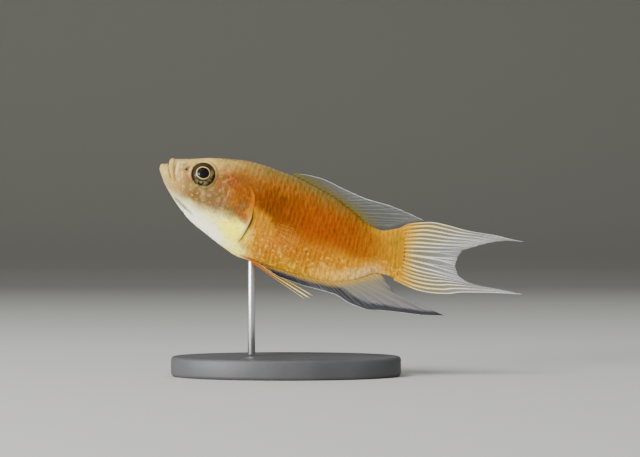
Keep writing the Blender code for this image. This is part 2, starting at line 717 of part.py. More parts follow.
def main():
    for obj in list(bpy.data.objects):
        bpy.data.objects.remove(obj)
    group = bpy.data.collections.new("paradise_fish")
    bpy.context.scene.collection.children.link(group)
    pose = bpy.data.objects.new("fish_pose", None)
    group.objects.link(pose)
    pose.location = JAW_TIP
    pose.rotation_euler = (0.0, PITCH, 0.0)
    finishes = {name: material(name, colour) for name, colour in COLOURS.items()}
    finishes["stand_rod"].node_tree.nodes["Principled BSDF"].inputs["Metallic"].default_value = 1.0

    def adopt(obj, finish):
        keep(obj, group, finishes[finish], pose)

    head = loose_object("head", head_mesh())
    jaw = loose_object("lower_jaw", head.data.copy())
    combine(head, "UNION", [lip_piece("upper_lip", False), lid_piece(-1), lid_piece(1)])
    sockets = [eye_object(side, f"socket_{side}", GAP) for side in (-1, 1)]
    pockets = [cover_piece(f"pocket_{side}", side, COVER_THICK + GAP, GAP) for side in (-1, 1)]
    combine(head, "DIFFERENCE", [mouth_block("before_mouth", True), *sockets, *pockets, *nostril_pieces()])
    adopt(head, "head")
    combine(jaw, "UNION", [lip_piece("lower_lip", True)])
    combine(jaw, "DIFFERENCE", [mouth_block("behind_mouth", False)])
    adopt(jaw, "head")

    trunk = loose_object("trunk", trunk_mesh())
    belly = rod_place()
    hole = loose_object("rod_hole", rod_mesh("rod_hole", ROD_RADIUS + GAP, -6 * MM, ROD_DEPTH + GAP))
    hole.data.transform(Matrix.Translation(pose.rotation_euler.to_matrix().inverted() @ (belly - JAW_TIP))
                        @ Matrix.Rotation(-PITCH, 4, "Y"))
    combine(trunk, "DIFFERENCE", [hole])
    adopt(trunk, "trunk")
    adopt(loose_object("tail", tail_mesh()), "tail")

    for side, word in ((-1, "left"), (1, "right")):
        adopt(eye_object(side, f"eye_{word}"), "eye")
        adopt(cover_piece(f"gill_cover_{word}", side, COVER_THICK, 0.0), "gill_cover")
        adopt(pectoral_fin(f"fin_pectoral_{word}", side), "fin")
        adopt(pelvic_fin(f"fin_pelvic_{word}", side), "fin_pelvic")
    adopt(dorsal_fin(), "fin")
    adopt(anal_fin(), "fin_anal")
    adopt(tail_lobe("fin_caudal_upper", 1, UPPER_OUTER, UPPER_INNER), "fin")
    adopt(tail_lobe("fin_caudal_lower", -1, LOWER_OUTER, LOWER_INNER), "fin")

    keep(foot_object(), group, finishes["stand_base"])
    rod = loose_object("stand_rod", rod_mesh("stand_rod", ROD_RADIUS, FOOT_SIZE.z + GAP, belly.z + ROD_DEPTH))
    rod.location = (belly.x, belly.y, 0.0)
    keep(rod, group, finishes["stand_rod"])


main()
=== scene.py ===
import math

import bpy
import numpy as np
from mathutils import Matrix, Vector


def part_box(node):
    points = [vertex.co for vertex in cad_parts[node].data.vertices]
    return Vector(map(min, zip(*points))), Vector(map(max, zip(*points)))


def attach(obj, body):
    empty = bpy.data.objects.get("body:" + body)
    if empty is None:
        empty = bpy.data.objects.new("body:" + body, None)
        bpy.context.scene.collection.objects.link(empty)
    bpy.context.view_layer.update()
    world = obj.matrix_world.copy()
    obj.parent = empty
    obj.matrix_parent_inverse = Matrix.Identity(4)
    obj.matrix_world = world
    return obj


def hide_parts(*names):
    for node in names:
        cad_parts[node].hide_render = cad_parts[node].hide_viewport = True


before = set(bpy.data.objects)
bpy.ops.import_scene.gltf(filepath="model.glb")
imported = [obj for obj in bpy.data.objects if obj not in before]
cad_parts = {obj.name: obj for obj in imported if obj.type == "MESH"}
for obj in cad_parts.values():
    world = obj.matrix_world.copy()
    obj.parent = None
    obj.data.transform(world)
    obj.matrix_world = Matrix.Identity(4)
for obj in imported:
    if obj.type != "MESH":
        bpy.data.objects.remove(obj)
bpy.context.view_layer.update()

# Skin of the head, trunk and tail.
# The fish's skin is one unbroken surface from the lips to the fleshy root of the tail fin. It is drawn
# over a row of cross sections, with the lips, the nostrils, the rims of the eye sockets, the groove in
# front of the gill cover and the cover's free rear edge raised or sunk in it.

# Sizes are in millimetres, in the fish's own level frame from the lower jaw's tip: x to the tail, y to the
# right side and z up. PITCH tips it nose up on the stand, and SWING bends the tail to the left.
MM = 0.001
LENGTH = 50.0
PITCH = math.radians(20.3)
JAW_TIP = np.array([-36.1, 0.0, 42.0])
SWING, SWING_START, SWING_END, SWING_POWER = 6.0, 22.0, 76.6, 1.8

# Cross sections from the lips back: x and z of the back, x and z of the belly, half width, how far up it
# is widest, and how pinched it is above and below that.
SECTIONS = np.array([
    (-0.10, 0.30, -0.10, -0.45, 0.40, 0.50, 1.00, 1.00),
    (0.35, 0.62, 0.40, -1.15, 1.00, 0.50, 1.00, 1.00),
    (1.00, 0.80, 1.25, -2.15, 1.40, 0.50, 0.95, 1.00),
    (1.36, 0.95, 1.75, -2.75, 1.55, 0.50, 0.90, 1.00),
    (1.46, 1.78, 2.15, -3.15, 1.66, 0.55, 0.85, 1.02),
    (3.27, 2.70, 3.82, -4.56, 2.10, 0.62, 0.78, 1.05),
    (5.14, 3.40, 5.60, -5.92, 2.55, 0.66, 0.76, 1.08),
    (8.82, 4.97, 9.45, -8.23, 3.20, 0.68, 0.76, 1.10),
    (12.66, 6.12, 13.20, -9.55, 3.75, 0.62, 0.82, 1.10),
    (16.55, 7.10, 17.00, -10.75, 4.10, 0.58, 0.88, 1.06),
    (20.60, 7.40, 21.00, -11.62, 4.25, 0.55, 0.92, 1.05),
    (25.00, 7.40, 25.00, -11.45, 4.15, 0.53, 0.95, 1.10),
    (30.00, 6.95, 30.00, -11.17, 3.75, 0.53, 1.00, 1.20),
    (35.00, 6.12, 35.30, -10.75, 3.05, 0.53, 1.00, 1.25),
    (39.60, 4.70, 40.20, -9.75, 2.30, 0.52, 1.00, 1.25),
    (43.00, 3.40, 44.60, -7.60, 1.72, 0.50, 1.00, 1.15),
    (45.60, 3.20, 48.00, -5.15, 1.30, 0.50, 1.00, 1.00),
    (47.60, 4.05, 50.40, -4.70, 0.85, 0.50, 1.00, 1.00),
    (49.60, 5.15, 52.30, -4.80, 0.26, 0.50, 1.00, 1.00),
    (50.05, 5.28, 52.75, -4.88, 0.14, 0.50, 1.00, 1.00),
    (50.75, 5.42, 53.45, -5.02, 0.03, 0.50, 1.00, 1.00),
])
# The edges on the head, as height up the section and station.
MOUTH_LINE = ((0.0, 2.75), (0.36, 2.7), (0.6, 2.05), (0.8, 1.72), (1.0, 1.56))
MOUTH_CORNER, MOUTH_OPEN = 0.34, 0.42
GILL_EDGE = ((0.0, 18.6), (0.1, 19.5), (0.25, 20.3), (0.42, 20.8), (0.55, 20.5), (0.65, 20.0),
             (0.72, 19.0), (0.8, 17.2), (1.0, 15.2))
GILL_FRONT = ((0.06, 16.8), (0.10, 16.4), (0.25, 15.0), (0.45, 14.3), (0.65, 14.9), (0.76, 16.2), (0.9, 16.4))
GILL_RAISE, GILL_SLOPE, GILL_REAR = 0.35, 4.0, 20.8
EYE = (8.79, 2.15, 1.48)
EYE_RADIUS = 2.4
NOSTRILS = ((5.31, 1.22, 0.17), (4.33, 2.10, 0.13))

# How far the small forms stand out of the head or, below zero, lie in it.
UPPER_LIP, LOWER_LIP, MOUTH_CUT, LIP_FOLD = 0.13, 0.10, -0.50, -0.09
NOSTRIL_RIM, NOSTRIL_PIT = 0.09, -0.35
LID, LID_FOLD, SOCKET = 0.10, -0.05, -1.90
COVER_FOLD, COVER_GROOVE, THROAT_FOLD = 0.10, -0.08, -0.10

# Rings of the skin on the snout, over the lips, from there to the gill cover's edge, and behind it.
SNOUT_RINGS, LIP_RINGS, HEAD_RINGS, TRUNK_RINGS = 16, 40, 124, 66
# The cover's free edge turns in under itself: each ring's step back, and how proud it stands.
FLAP = ((-0.02, 0.35), (0.0, 0.30), (0.0, 0.20), (-0.05, 0.12), (-0.28, 0.05), (-0.30, -0.08), (-0.05, -0.10),
        (0.14, -0.03))
SKIN_ROUND = 208


def smooth_curve(xs, ys):
    """A curve through the points that never overshoots them."""
    xs, ys = np.array(xs, float), np.array(ys, float)
    steps = np.diff(xs)
    slopes = np.diff(ys) / steps
    tangents = np.zeros(len(xs))
    tangents[0], tangents[-1] = slopes[0], slopes[-1]
    for i in range(1, len(xs) - 1):
        if slopes[i - 1] * slopes[i] > 0:
            before, after = 2 * steps[i] + steps[i - 1], steps[i] + 2 * steps[i - 1]
            tangents[i] = (before + after) / (before / slopes[i - 1] + after / slopes[i])

    def at(x):
        x = np.clip(x, xs[0], xs[-1])
        i = np.clip(np.searchsorted(xs, x, side="right") - 1, 0, len(steps) - 1)
        h, t = steps[i], (x - xs[i]) / steps[i]
        return (ys[i] * (1 + 2 * t) * (1 - t) ** 2 + tangents[i] * h * t * (1 - t) ** 2
                + ys[i + 1] * t * t * (3 - 2 * t) - tangents[i + 1] * h * t * t * (1 - t))

    return at


def smooth_step(low, high, value):
    share = np.clip((value - low) / (high - low), 0.0, 1.0)
    return share * share * (3.0 - 2.0 * share)


def bump(distance, width):
    return np.exp(-((distance / width) ** 2))


SECTION_AT = (SECTIONS[:, 0] + SECTIONS[:, 2]) / 2
TAIL_END = float(SECTION_AT[-1])
back_x, back_z, belly_x, belly_z, half_width, widest_at, full_above, full_below = (
    smooth_curve(SECTION_AT, SECTIONS[:, k]) for k in range(8))
mouth_line, gill_edge, gill_front = (smooth_curve(*zip(*p)) for p in (MOUTH_LINE, GILL_EDGE, GILL_FRONT))


def swing(x):
    return -SWING * np.clip((x - SWING_START) / (SWING_END - SWING_START), 0.0, 1.0) ** SWING_POWER


def height_up(station, angle):
    """The share of the way up a section, 0 at the belly, of the angle from the back down its left side."""
    widest, cosine = widest_at(station), np.cos(angle)
    return widest + cosine * np.where(cosine > 0, 1 - widest, widest)


def on_body(station, angle):
    widest, sine = widest_at(station), np.sin(angle)
    height = height_up(station, angle)
    power = np.where(height > widest, full_above(station), full_below(station))
    x = belly_x(station) + (back_x(station) - belly_x(station)) * height
    z = belly_z(station) + (back_z(station) - belly_z(station)) * height
    out = half_width(station) * np.maximum(np.abs(sine), 1e-9) ** power
    return np.stack([x, -np.sign(sine) * out + swing(x), z], axis=-1)


def above_body(station, angle, proud):
    """Points that stand proud of the body along its own normal, all in millimetres."""
    here = on_body(station, angle)
    along = on_body(station + 0.02, angle) - on_body(station - 0.02, angle)
    around = on_body(station, angle + 0.004) - on_body(station, angle - 0.004)
    normal = np.cross(along, around)
    normal /= np.maximum(np.linalg.norm(normal, axis=-1, keepdims=True), 1e-9)
    outward = np.stack([0 * station, -np.sin(angle), np.cos(angle)], axis=-1)
    normal *= np.sign((normal * outward).sum(-1, keepdims=True))
    return here + normal * proud[..., None]


def on_stand(points):
    """From the fish's own level frame in millimetres to its place on the stand in metres."""
    cosine, sine = math.cos(PITCH), math.sin(PITCH)
    x, y, z = points[..., 0], points[..., 1], points[..., 2]
    return (np.stack([x * cosine + z * sine, y, z * cosine - x * sine], axis=-1) + JAW_TIP) * MM


def write_notes(mesh, notes):
    """Notes on the mesh's corners that the finishes read, three numbers each."""
    for note, values in notes.items():
        layer = mesh.attributes.new(note, "FLOAT_VECTOR", "POINT")
        layer.data.foreach_set("vector", np.stack(values, axis=-1).astype(np.float32).ravel())


def grid_piece(name, columns, rows, place, merge=1e-7):
    """A grid, shaped by moving its corners to place(u, v), with u and v from 0 to 1, and closed where
    its corners meet. It keeps u and v as its UV map."""
    bpy.ops.object.select_all(action="DESELECT")
    bpy.ops.mesh.primitive_grid_add(x_subdivisions=columns, y_subdivisions=rows, size=1.0)
    piece = bpy.context.object
    piece.name = piece.data.name = name
    piece.data.uv_layers[0].name = "OFBake"
    corners = np.empty(len(piece.data.vertices) * 3, np.float32)
    piece.data.vertices.foreach_get("co", corners)
    corners = corners.reshape(-1, 3).astype(float) + 0.5
    points, notes = place(np.clip(corners[:, 0], 0, 1), np.clip(corners[:, 1], 0, 1))
    piece.data.vertices.foreach_set("co", on_stand(points).astype(np.float32).ravel())
    write_notes(piece.data, notes)
    bpy.ops.object.mode_set(mode="EDIT")
    bpy.ops.mesh.select_all(action="SELECT")
    bpy.ops.mesh.remove_doubles(threshold=merge)
    bpy.ops.mesh.dissolve_degenerate(threshold=merge)
    bpy.ops.mesh.normals_make_consistent(inside=False)
    bpy.ops.object.mode_set(mode="OBJECT")
    bpy.ops.object.shade_smooth()
    return piece


def over_gill(height):
    """1 at the heights that the gill cover spans, 0 along the belly and the back."""
    return smooth_step(0.11, 0.21, height) * (1 - smooth_step(0.70, 0.80, height))


def free_below(height):
    """1 where the cover's edge stands free, easing off where it is bound above."""
    return 1 - 0.85 * smooth_step(0.38, 0.54, height)


def from_eye(x, z):
    return np.hypot(x - EYE[0], z - EYE[2]) - EYE_RADIUS


def head_relief(station, angle):
    """How far the skin's forms stand out of the plain body."""
    height = height_up(station, angle)
    point = on_body(station, angle)
    from_mouth = station - mouth_line(height)
    relief = UPPER_LIP * smooth_step(0.03, 0.3, from_mouth) * (1 - smooth_step(0.8, 1.15, from_mouth))
    relief += LOWER_LIP * smooth_step(0.03, 0.22, -from_mouth) * (1 - smooth_step(0.35, 0.7, -from_mouth))
    relief += MOUTH_CUT * bump(from_mouth, 0.035)
    relief *= smooth_step(MOUTH_CORNER, MOUTH_OPEN, height)
    relief += LIP_FOLD * bump(from_mouth - 1.27, 0.12) * smooth_step(0.3, 0.5, height)
    for x, z, radius in NOSTRILS:
        away = np.hypot(point[..., 0] - x, point[..., 2] - z)
        relief += NOSTRIL_RIM * bump(away - 1.9 * radius, 0.6 * radius)
        relief += NOSTRIL_PIT * (1 - smooth_step(0.6, 1.5, away / radius))
    away = from_eye(point[..., 0], point[..., 2])
    relief += LID * bump(away - 0.16, 0.17) + LID_FOLD * bump(away - 0.62, 0.16)
    relief += SOCKET * (1 - smooth_step(-0.28, 0.02, away))
    window, rear = over_gill(height), gill_edge(height)
    slope = smooth_step(rear - GILL_SLOPE, rear, station) * (station <= rear + 0.02)
    relief += GILL_RAISE * free_below(height) * window * slope
    from_front = station - gill_front(height)
    relief += COVER_FOLD * window * smooth_step(0.0, 0.25, from_front) * (1 - smooth_step(2.0, 4.5, from_front))
    relief += COVER_GROOVE * window * bump(from_front, 0.16)
    throat = bump(station - 7.2 - 3.5 * smooth_step(0.0, 0.5, height), 0.22)
    relief += THROAT_FOLD * throat * (1 - smooth_step(0.10, 0.22, height)) * smooth_step(5.5, 6.5, station)
    return relief


def skin_rings():
    """Each ring of the skin: the shares of the mouth line, the gill edge and the tail's end that its
    station takes, the step added to it, and how proud the cover's free edge stands."""
    rings = [(share, 0.0, 0.0, -0.1 - 0.5 * share, 0.0) for share in np.linspace(0, 1, SNOUT_RINGS)]
    rings += [(1.0, 0.0, 0.0, step, 0.0) for step in np.linspace(-0.56, 1.4, LIP_RINGS)]
    rings += [(1 - share, share, 0.0, 1.4 * (1 - share), 0.0) for share in np.linspace(0, 1, HEAD_RINGS)[1:-1]]
    rings += [(0.0, 1.0, 0.0, step, proud) for step, proud in FLAP]
    rings += [(0.0, 1 - share, share, 0.3 * (1 - share), 0.0) for share in np.linspace(0, 1, TRUNK_RINGS)[1:]]
    return np.array(rings)


RINGS = skin_rings()
FLAP_FROM = SNOUT_RINGS + LIP_RINGS + HEAD_RINGS - 2
FLAP_TO = FLAP_FROM + len(FLAP)


def skin_place(u, v):
    ring = np.clip(np.rint(u * (len(RINGS) - 1)).astype(int), 0, len(RINGS) - 1)
    angle = v * 2 * math.pi
    height = height_up(np.full_like(v, GILL_REAR), angle)
    window = over_gill(height)
    to_mouth, to_gill, to_tail, step, proud = RINGS[ring].T
    even = (ring - FLAP_FROM) * 0.04 - 0.02
    in_flap = (ring >= FLAP_FROM) & (ring < FLAP_TO)
    step = np.where(in_flap, window * step + (1 - window) * even, step)
    station = to_mouth * mouth_line(height) + to_gill * gill_edge(height) + to_tail * TAIL_END + step
    relief = np.where(ring < FLAP_FROM, head_relief(station, angle), window * proud * free_below(height))
    points = above_body(station, angle, relief)
    nose, end = ring == 0, ring == len(RINGS) - 1
    points[nose] = points[nose].mean(0)
    points[end, 1] = swing(points[end, 0])
    return points, place_notes(station, height_up(station, angle), points, 0 * station, 0.5 + 0 * station)


def place_notes(station, height, points, edge, own):
    """What the markings read, lengths as shares of the fish: station, height up and the part of a scale,
    the side view's x and z and the distance behind the cover's edge, and a scale's own chance number."""
    return {"lie": (station / LENGTH, height, edge),
            "side": (points[..., 0] / LENGTH, points[..., 2] / LENGTH, (station - gill_edge(height)) / LENGTH),
            "own": (own, 0 * own, 0 * own)}


skin = grid_piece("skin", len(RINGS) - 1, SKIN_ROUND, skin_place)
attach(skin, "root")
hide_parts("head", "lower_jaw", "gill_cover_left", "gill_cover_right", "trunk", "tail")


def paint(hex_colour):
    """An sRGB colour turned linear."""
    parts = [int(hex_colour[i:i + 2], 16) / 255 for i in (1, 3, 5)]
    return tuple(c / 12.92 if c <= 0.04045 else ((c + 0.055) / 1.055) ** 2.4 for c in parts) + (1.0,)


def plug(tree, node, inputs):
    """Sets a node's sockets, or links them to other nodes. A row of inputs fills the open sockets in
    order, and a dictionary names them. A node stands for its first open output."""
    if isinstance(inputs, dict):
        pairs = [(node.inputs[name], value) for name, value in inputs.items()]
    else:
        pairs = zip([socket for socket in node.inputs if socket.enabled], inputs)
    for socket, value in pairs:
        if isinstance(value, bpy.types.Node):
            value = next(output for output in value.outputs if output.enabled)
        if isinstance(value, bpy.types.NodeSocket):
            tree.links.new(value, socket)
        else:
            socket.default_value = value


def add(tree, kind, inputs=(), stops=(), **settings):
    """A shader node with its settings, its sockets plugged and its colour stops placed."""
    node = tree.nodes.new("ShaderNode" + kind)
    for name, value in settings.items():
        setattr(node, name, value)
    plug(tree, node, inputs)
    if stops:
        ramp = node.color_ramp
        while len(ramp.elements) < len(stops):
            ramp.elements.new(0.5)
        for element, (place, colour) in zip(ramp.elements, sorted(stops)):
            element.position = place
            element.color = paint(colour) if isinstance(colour, str) else (colour, colour, colour, 1.0)
    return node


# A share of a range that eases in and out at its ends.
SMOOTH = {"interpolation_type": "SMOOTHSTEP"}


def new_finish(name):
    finish = bpy.data.materials.new(name)
    finish.use_nodes = True
    return finish, finish.node_tree, finish.node_tree.nodes["Principled BSDF"]


def dress(piece, finish):
    piece.data.materials.clear()
    piece.data.materials.append(finish)


# The golden form's own colours.
CREAM, PEARL, WHITE, LEMON, STRAW = "#cdb888", "#e6e09c", "#f8f6e4", "#fbee70", "#d8a440"
HONEY, GOLD, AMBER, BRASS, RUST = "#b07c0c", "#a86e00", "#a05c00", "#a87408", "#843c00"
UMBER, BROWN, FAWN, TAN, SAND, OLIVE = "#683302", "#804a0e", "#644820", "#98783c", "#aa9054", "#705a24"

# The bands that run the fish's length, from the belly up: station and colour along the band, then
# station and height of its lower edge, then how softly it meets the band below.
PAINTED_TO = 52
ALONG_THE_FISH = (
    # belly
    (((1.5, CREAM), (4, CREAM), (8, WHITE), (15, WHITE), (18.5, LEMON), (20.5, LEMON), (23, STRAW),
      (26, HONEY), (34, HONEY), (40, STRAW), (45, "#c8a46c"), (49, BRASS)), None, None),
    # jaw and throat, then the bright lower edge of the flank
    (((1.5, CREAM), (4.5, CREAM), (8, PEARL), (14, PEARL), (17, LEMON), (19.5, LEMON), (22.5, GOLD), (27, AMBER),
      (34, AMBER), (41, GOLD), (48, BRASS)),
     ((1.5, 0.02), (6, 0.12), (14, 0.12), (20, 0.08), (24, 0.07), (32, 0.15), (40, 0.16), (49, 0.2)), 0.12),
    # cheek and gill cover, then the dark orange of the flank
    (((1.5, SAND), (4.3, TAN), (8, FAWN), (18, FAWN), (20.5, UMBER), (25, UMBER), (32, RUST), (36, RUST),
      (41, "#844200"), (45, "#864a00"), (50, BRASS)),
     ((1.5, 0.02), (4, 0.09), (6, 0.18), (8, 0.24), (11, 0.27), (15, 0.31), (19, 0.34), (23.5, 0.42), (32, 0.43),
      (41, 0.43), (44, 0.36), (48, 0.3)), 0.11),
    # temple and shoulder, then the upper flank
    (((1.5, SAND), (5, "#86683a"), (9.5, TAN), (15, BROWN), (41, BROWN), (45, "#885404"), (49, BRASS)),
     ((1.5, 0.6), (9.5, 0.78), (14, 0.80), (20, 0.76), (32, 0.80), (40.5, 0.84), (48, 0.8)), 0.11),
    # top of the head and back
    (((1.5, SAND), (5.5, SAND), (9, "#c4a452"), (13, TAN), (22, OLIVE), (36, OLIVE), (41, "#845814"), (48, BRASS)),
     ((1.5, 0.85), (9.5, 0.86), (16, 0.88), (24, 0.91), (40, 0.94), (48, 0.95)), 0.09))

# Patches on the side, as place, reach and lean in millimetres and degrees, strength and colour.
PATCHES = (
    # gill cover: an orange shield with a redder upper front and a brighter tongue below
    ((16.9, 0.6, 3.5, 3.2, 0), 1.0, "#763c00"), ((14.6, 2.4, 1.9, 1.2, 0), 0.75, "#74340e"),
    ((15.6, -1.2, 1.9, 2.0, 0), 0.5, "#84520a"), ((19.0, -3.4, 2.2, 1.3, -30), 0.85, "#7c4204"),
    # throat: clear yellow, paler forward
    ((18.4, -7.1, 3.6, 2.1, -15), 1.0, "#fff210"), ((14.4, -6.1, 3.8, 1.0, -24), 0.55, "#ece460"),
    # cheek, a dark ring of painted shade round the eye under its lids, and the arc below the eye
    # painted shade of the lids and socket round the eye
    ((9.04, 1.28, 2.8, 2.8, 0), 0.6, "#4c3a20"),
    ((12.6, 0.6, 1.4, 1.8, 0), 0.55, "#744010"), ((9.8, -2.0, 2.4, 0.6, 10), 0.6, "#6c4428"),
    # nostrils, the fold behind the upper lip and the groove of the lower jaw, drawn as painted light and shade
    # a painted highlight by the front nostril, and painted shade in the rear nostril's pit
    ((4.15, 2.25, 0.32, 0.22, 0), 0.5, "#ecd0a0"), ((5.3, 1.35, 0.45, 0.9, -25), 0.7, "#4a3820"),
    # a painted highlight on the lip fold's ridge, and painted shade in its groove
    ((3.4, 0.9, 0.22, 1.5, 10), 0.6, "#e0c488"), ((2.9, 0.9, 0.16, 1.5, 10), 0.6, "#5c4418"),
    # painted shade along the lower jaw's groove
    ((7.2, -5.9, 2.6, 0.42, -24), 0.8, "#5c6448"),
    # shoulder: gold behind the gill opening, then a dark shadow above it
    ((22.6, -3.7, 4.2, 2.5, -30), 0.8, "#b07600"), ((21.5, -8.2, 2.2, 1.7, 0), 0.75, "#c89c24"),
    ((23.4, 0.4, 3.0, 2.4, 0), 0.6, "#643001"),
    # tail root: an olive spot before the upper rays
    ((49.2, 2.5, 1.1, 1.9, 0), 0.6, "#8c6c10"))


def markings(tree):
    """The fish's colours over its skin and scales, from their place on the body. Also gives what else the
    finishes read: the part of a scale, its chance number, the fine grain and the upright streaks."""
    lie, side, own = (add(tree, "Attribute", attribute_name=note).outputs["Vector"]
                      for note in ("lie", "side", "own"))
    along, height, edge = add(tree, "SeparateXYZ", (lie,)).outputs
    gap = add(tree, "SeparateXYZ", (side,)).outputs["Z"]
    chance = add(tree, "SeparateXYZ", (own,)).outputs["X"]
    # blotches two millimetres across, grain of 0.8 mm, and upright streaks about 0.4 mm wide on the flank
    where = add(tree, "TexCoord").outputs["Object"]
    blotch = add(tree, "TexNoise", (where, 480.0, 4.0))
    fine = add(tree, "TexNoise", (where, 1250.0, 3.0))
    level = add(tree, "Mapping", {"Vector": side, "Rotation": (0, 0, -PITCH)})
    level = add(tree, "Mapping", {"Vector": level, "Scale": (LENGTH / 0.38, LENGTH / 2.0, 0)})
    streak = add(tree, "Math", (add(tree, "TexNoise", (level, 1.0, 2.0)), 0.5), operation="SUBTRACT")
    on_flank = add(tree, "MapRange", (along, 0.36, 0.46), **SMOOTH)
    streaky = add(tree, "Math", (streak, on_flank), operation="MULTIPLY")

    # the bands' edges wander with the blotches and fray with the streaks
    wander = add(tree, "Math", (blotch, 0.5), operation="SUBTRACT")
    high = add(tree, "Math", (wander, 0.13, height), operation="MULTIPLY_ADD")
    high = add(tree, "Math", (streaky, 0.22, high), operation="MULTIPLY_ADD")
    even = add(tree, "Math", (along, LENGTH / PAINTED_TO), operation="MULTIPLY")
    uneven = add(tree, "Math", (wander, 0.05, even), operation="MULTIPLY_ADD")
    for paints, lower_edge, soft in ALONG_THE_FISH:
        band = add(tree, "ValToRGB", (uneven,), [(at / PAINTED_TO, tint) for at, tint in paints])
        if lower_edge:
            starts = add(tree, "ValToRGB", (even,), [(at / PAINTED_TO, up) for at, up in lower_edge])
            above = add(tree, "Math", (high, starts), operation="SUBTRACT")
            above = add(tree, "MapRange", (above, -soft, soft), **SMOOTH)
            band = add(tree, "Mix", (above, colour, band), data_type="RGBA")
        colour = band

    for (x, z, reach_x, reach_z, lean), strength, tint in PATCHES:
        inside = add(tree, "Mapping", {
            "Vector": side, "Location": (x / LENGTH, z / LENGTH, 0), "Rotation": (0, 0, math.radians(lean)),
            "Scale": (reach_x / LENGTH, reach_z / LENGTH, 1e6)}, vector_type="TEXTURE")
        inside = add(tree, "VectorMath", (inside, inside), operation="DOT_PRODUCT")
        inside = add(tree, "Math", (wander, 2.2, inside), operation="MULTIPLY_ADD")
        inside = add(tree, "MapRange", (inside, 1.25, 0.15, 0.0, strength), **SMOOTH)
        colour = add(tree, "Mix", (inside, colour, paint(tint)), data_type="RGBA")

    # Each grain or line shows where all its windows are open. A window fades in from its first figure to
    # its second, in shares of the fish or of the grain itself. Then come the strength and the paint.
    near_mouth = add(tree, "MapRange", (along, 0.22, 0.12, 0.0, 0.22), **SMOOTH)
    flecked = add(tree, "MapRange", (along, 0.32, 0.26, 0.06, 0.18), **SMOOTH)
    flecked = add(tree, "Math", (flecked, near_mouth), operation="ADD")
    head, behind_lips, cheek = (along, 0.47, 0.38), (along, 0.03, 0.08), (along, 0.32, 0.26)
    upper, belly = (height, 0.22, 0.36), ((height, 0.42, 0.26), (along, 0.38, 0.46))
    for windows, strength, tint in (
            # cheek and gill cover: mottled with pale gold, brown, pink and greenish gold
            ((head, behind_lips, upper, (fine, 0.50, 0.66)), flecked, "#d8b060"),
            ((head, behind_lips, upper, (fine, 0.46, 0.30)), 0.26, "#6c4028"),
            ((cheek, (height, 0.18, 0.34), (blotch, 0.53, 0.66)), 0.24, "#a05a44"),
            ((cheek, (height, 0.18, 0.34), (blotch, 0.47, 0.34)), 0.24, "#98984c"),
            # white of the jaw and throat: faintly grained with grey green
            ((head, behind_lips, (height, 0.34, 0.24), (fine, 0.50, 0.36)), 0.30, "#98a080"),
            # belly: grained with bright and dull gold
            ((*belly, (fine, 0.52, 0.64)), 0.34, "#e6bc48"),
            ((*belly, (fine, 0.48, 0.38)), 0.30, "#985c08"),
            # the cover's free edge: orange above, pale pink below, and painted shade in the gap behind its lower
            # half
            (((gap, -0.018, -0.007), (gap, 0.003, -0.001), (height, 0.50, 0.56), (height, 0.76, 0.66)), 0.85,
             "#a85a00"),
            (((gap, -0.015, -0.008), (gap, 0.002, -0.003), (height, 0.14, 0.22), (height, 0.48, 0.38)), 0.4,
             "#c8a894"),
            # painted shade in the gap behind the cover's lower edge
            (((gap, -0.004, 0.001), (gap, 0.022, 0.008), (height, 0.20, 0.30), (height, 0.52, 0.44)), 0.45,
             "#5c4410")):
        for source, closed, opened in windows:
            window = add(tree, "MapRange", (source, closed, opened), **SMOOTH)
            strength = add(tree, "Math", (strength, window), operation="MULTIPLY")
        colour = add(tree, "Mix", (strength, colour, paint(tint)), data_type="RGBA")
    return colour, edge, chance, fine, streaky


# wet living skin: a thin clear film over soft pigment, so the light breaks into small sharp glints
skin_finish, tree, shader = new_finish("wet_fish_skin")
colour, _, _, fine, _ = markings(tree)
grain = add(tree, "Bump", {"Height": fine, "Strength": 0.3, "Distance": 0.08 * MM})
plug(tree, shader, {"Base Color": colour, "Normal": grain, "Roughness": 0.42, "Specular IOR Level": 0.06,
                    "Coat Weight": 0.08, "Coat Roughness": 0.12})
dress(skin, skin_finish)

# Scales.
# Thin bony plates set in the skin in slanting rows, each lapping the two behind it like roof tiles, with
# a round rear edge that stands a little clear. They run from the gill cover onto the tail fin's root.

SCALE_ROWS, CHEEK_ROWS = 15, 22
SCALE_LAP, SCALE_HALF, SCALE_THICK = 2.5, 0.60, 0.045
SCALE_ALONG, SCALE_ACROSS = np.array([0.0, 0.35, 0.68, 0.88, 1.0]), np.linspace(-1, 1, 5)
SCALE_HIDDEN = 0.3
UNWRAP_PATCH = 0.003
GIRTH_STEPS = 240


def girth_table(stations):
    """For each station, the angles that share the half girth evenly, from the back to the belly."""
    angles = np.linspace(0, math.pi, GIRTH_STEPS + 1)
    table = []
    for station in stations:
        points = on_body(np.full_like(angles, station), np.clip(angles, 1e-4, math.pi - 1e-4))
        far = np.concatenate([[0], np.cumsum(np.linalg.norm(np.diff(points, axis=0), axis=1))])
        table.append(np.interp(np.linspace(0, 1, GIRTH_STEPS + 1), far / far[-1], angles))
    return np.array(table)


TABLE_AT = np.linspace(0, TAIL_END, 160)
TABLE = girth_table(TABLE_AT)


def angle_of(station, share):
    """The angle a share of the way round the half girth; a share past 0 or 1 runs on to the other side."""
    folded = np.abs(share)
    folded = np.where(folded > 1, 2 - folded, folded)
    row = np.clip(station / TAIL_END * (len(TABLE_AT) - 1), 0, len(TABLE_AT) - 1.001)
    column = np.clip(folded * GIRTH_STEPS, 0, GIRTH_STEPS - 0.001)
    r, c = row.astype(int), column.astype(int)
    fr, fc = row - r, column - c
    angle = ((TABLE[r, c] * (1 - fc) + TABLE[r, c + 1] * fc) * (1 - fr)
             + (TABLE[r + 1, c] * (1 - fc) + TABLE[r + 1, c + 1] * fc) * fr)
    return np.where(share < 0, -angle, np.where(share > 1, 2 * math.pi - angle, angle))


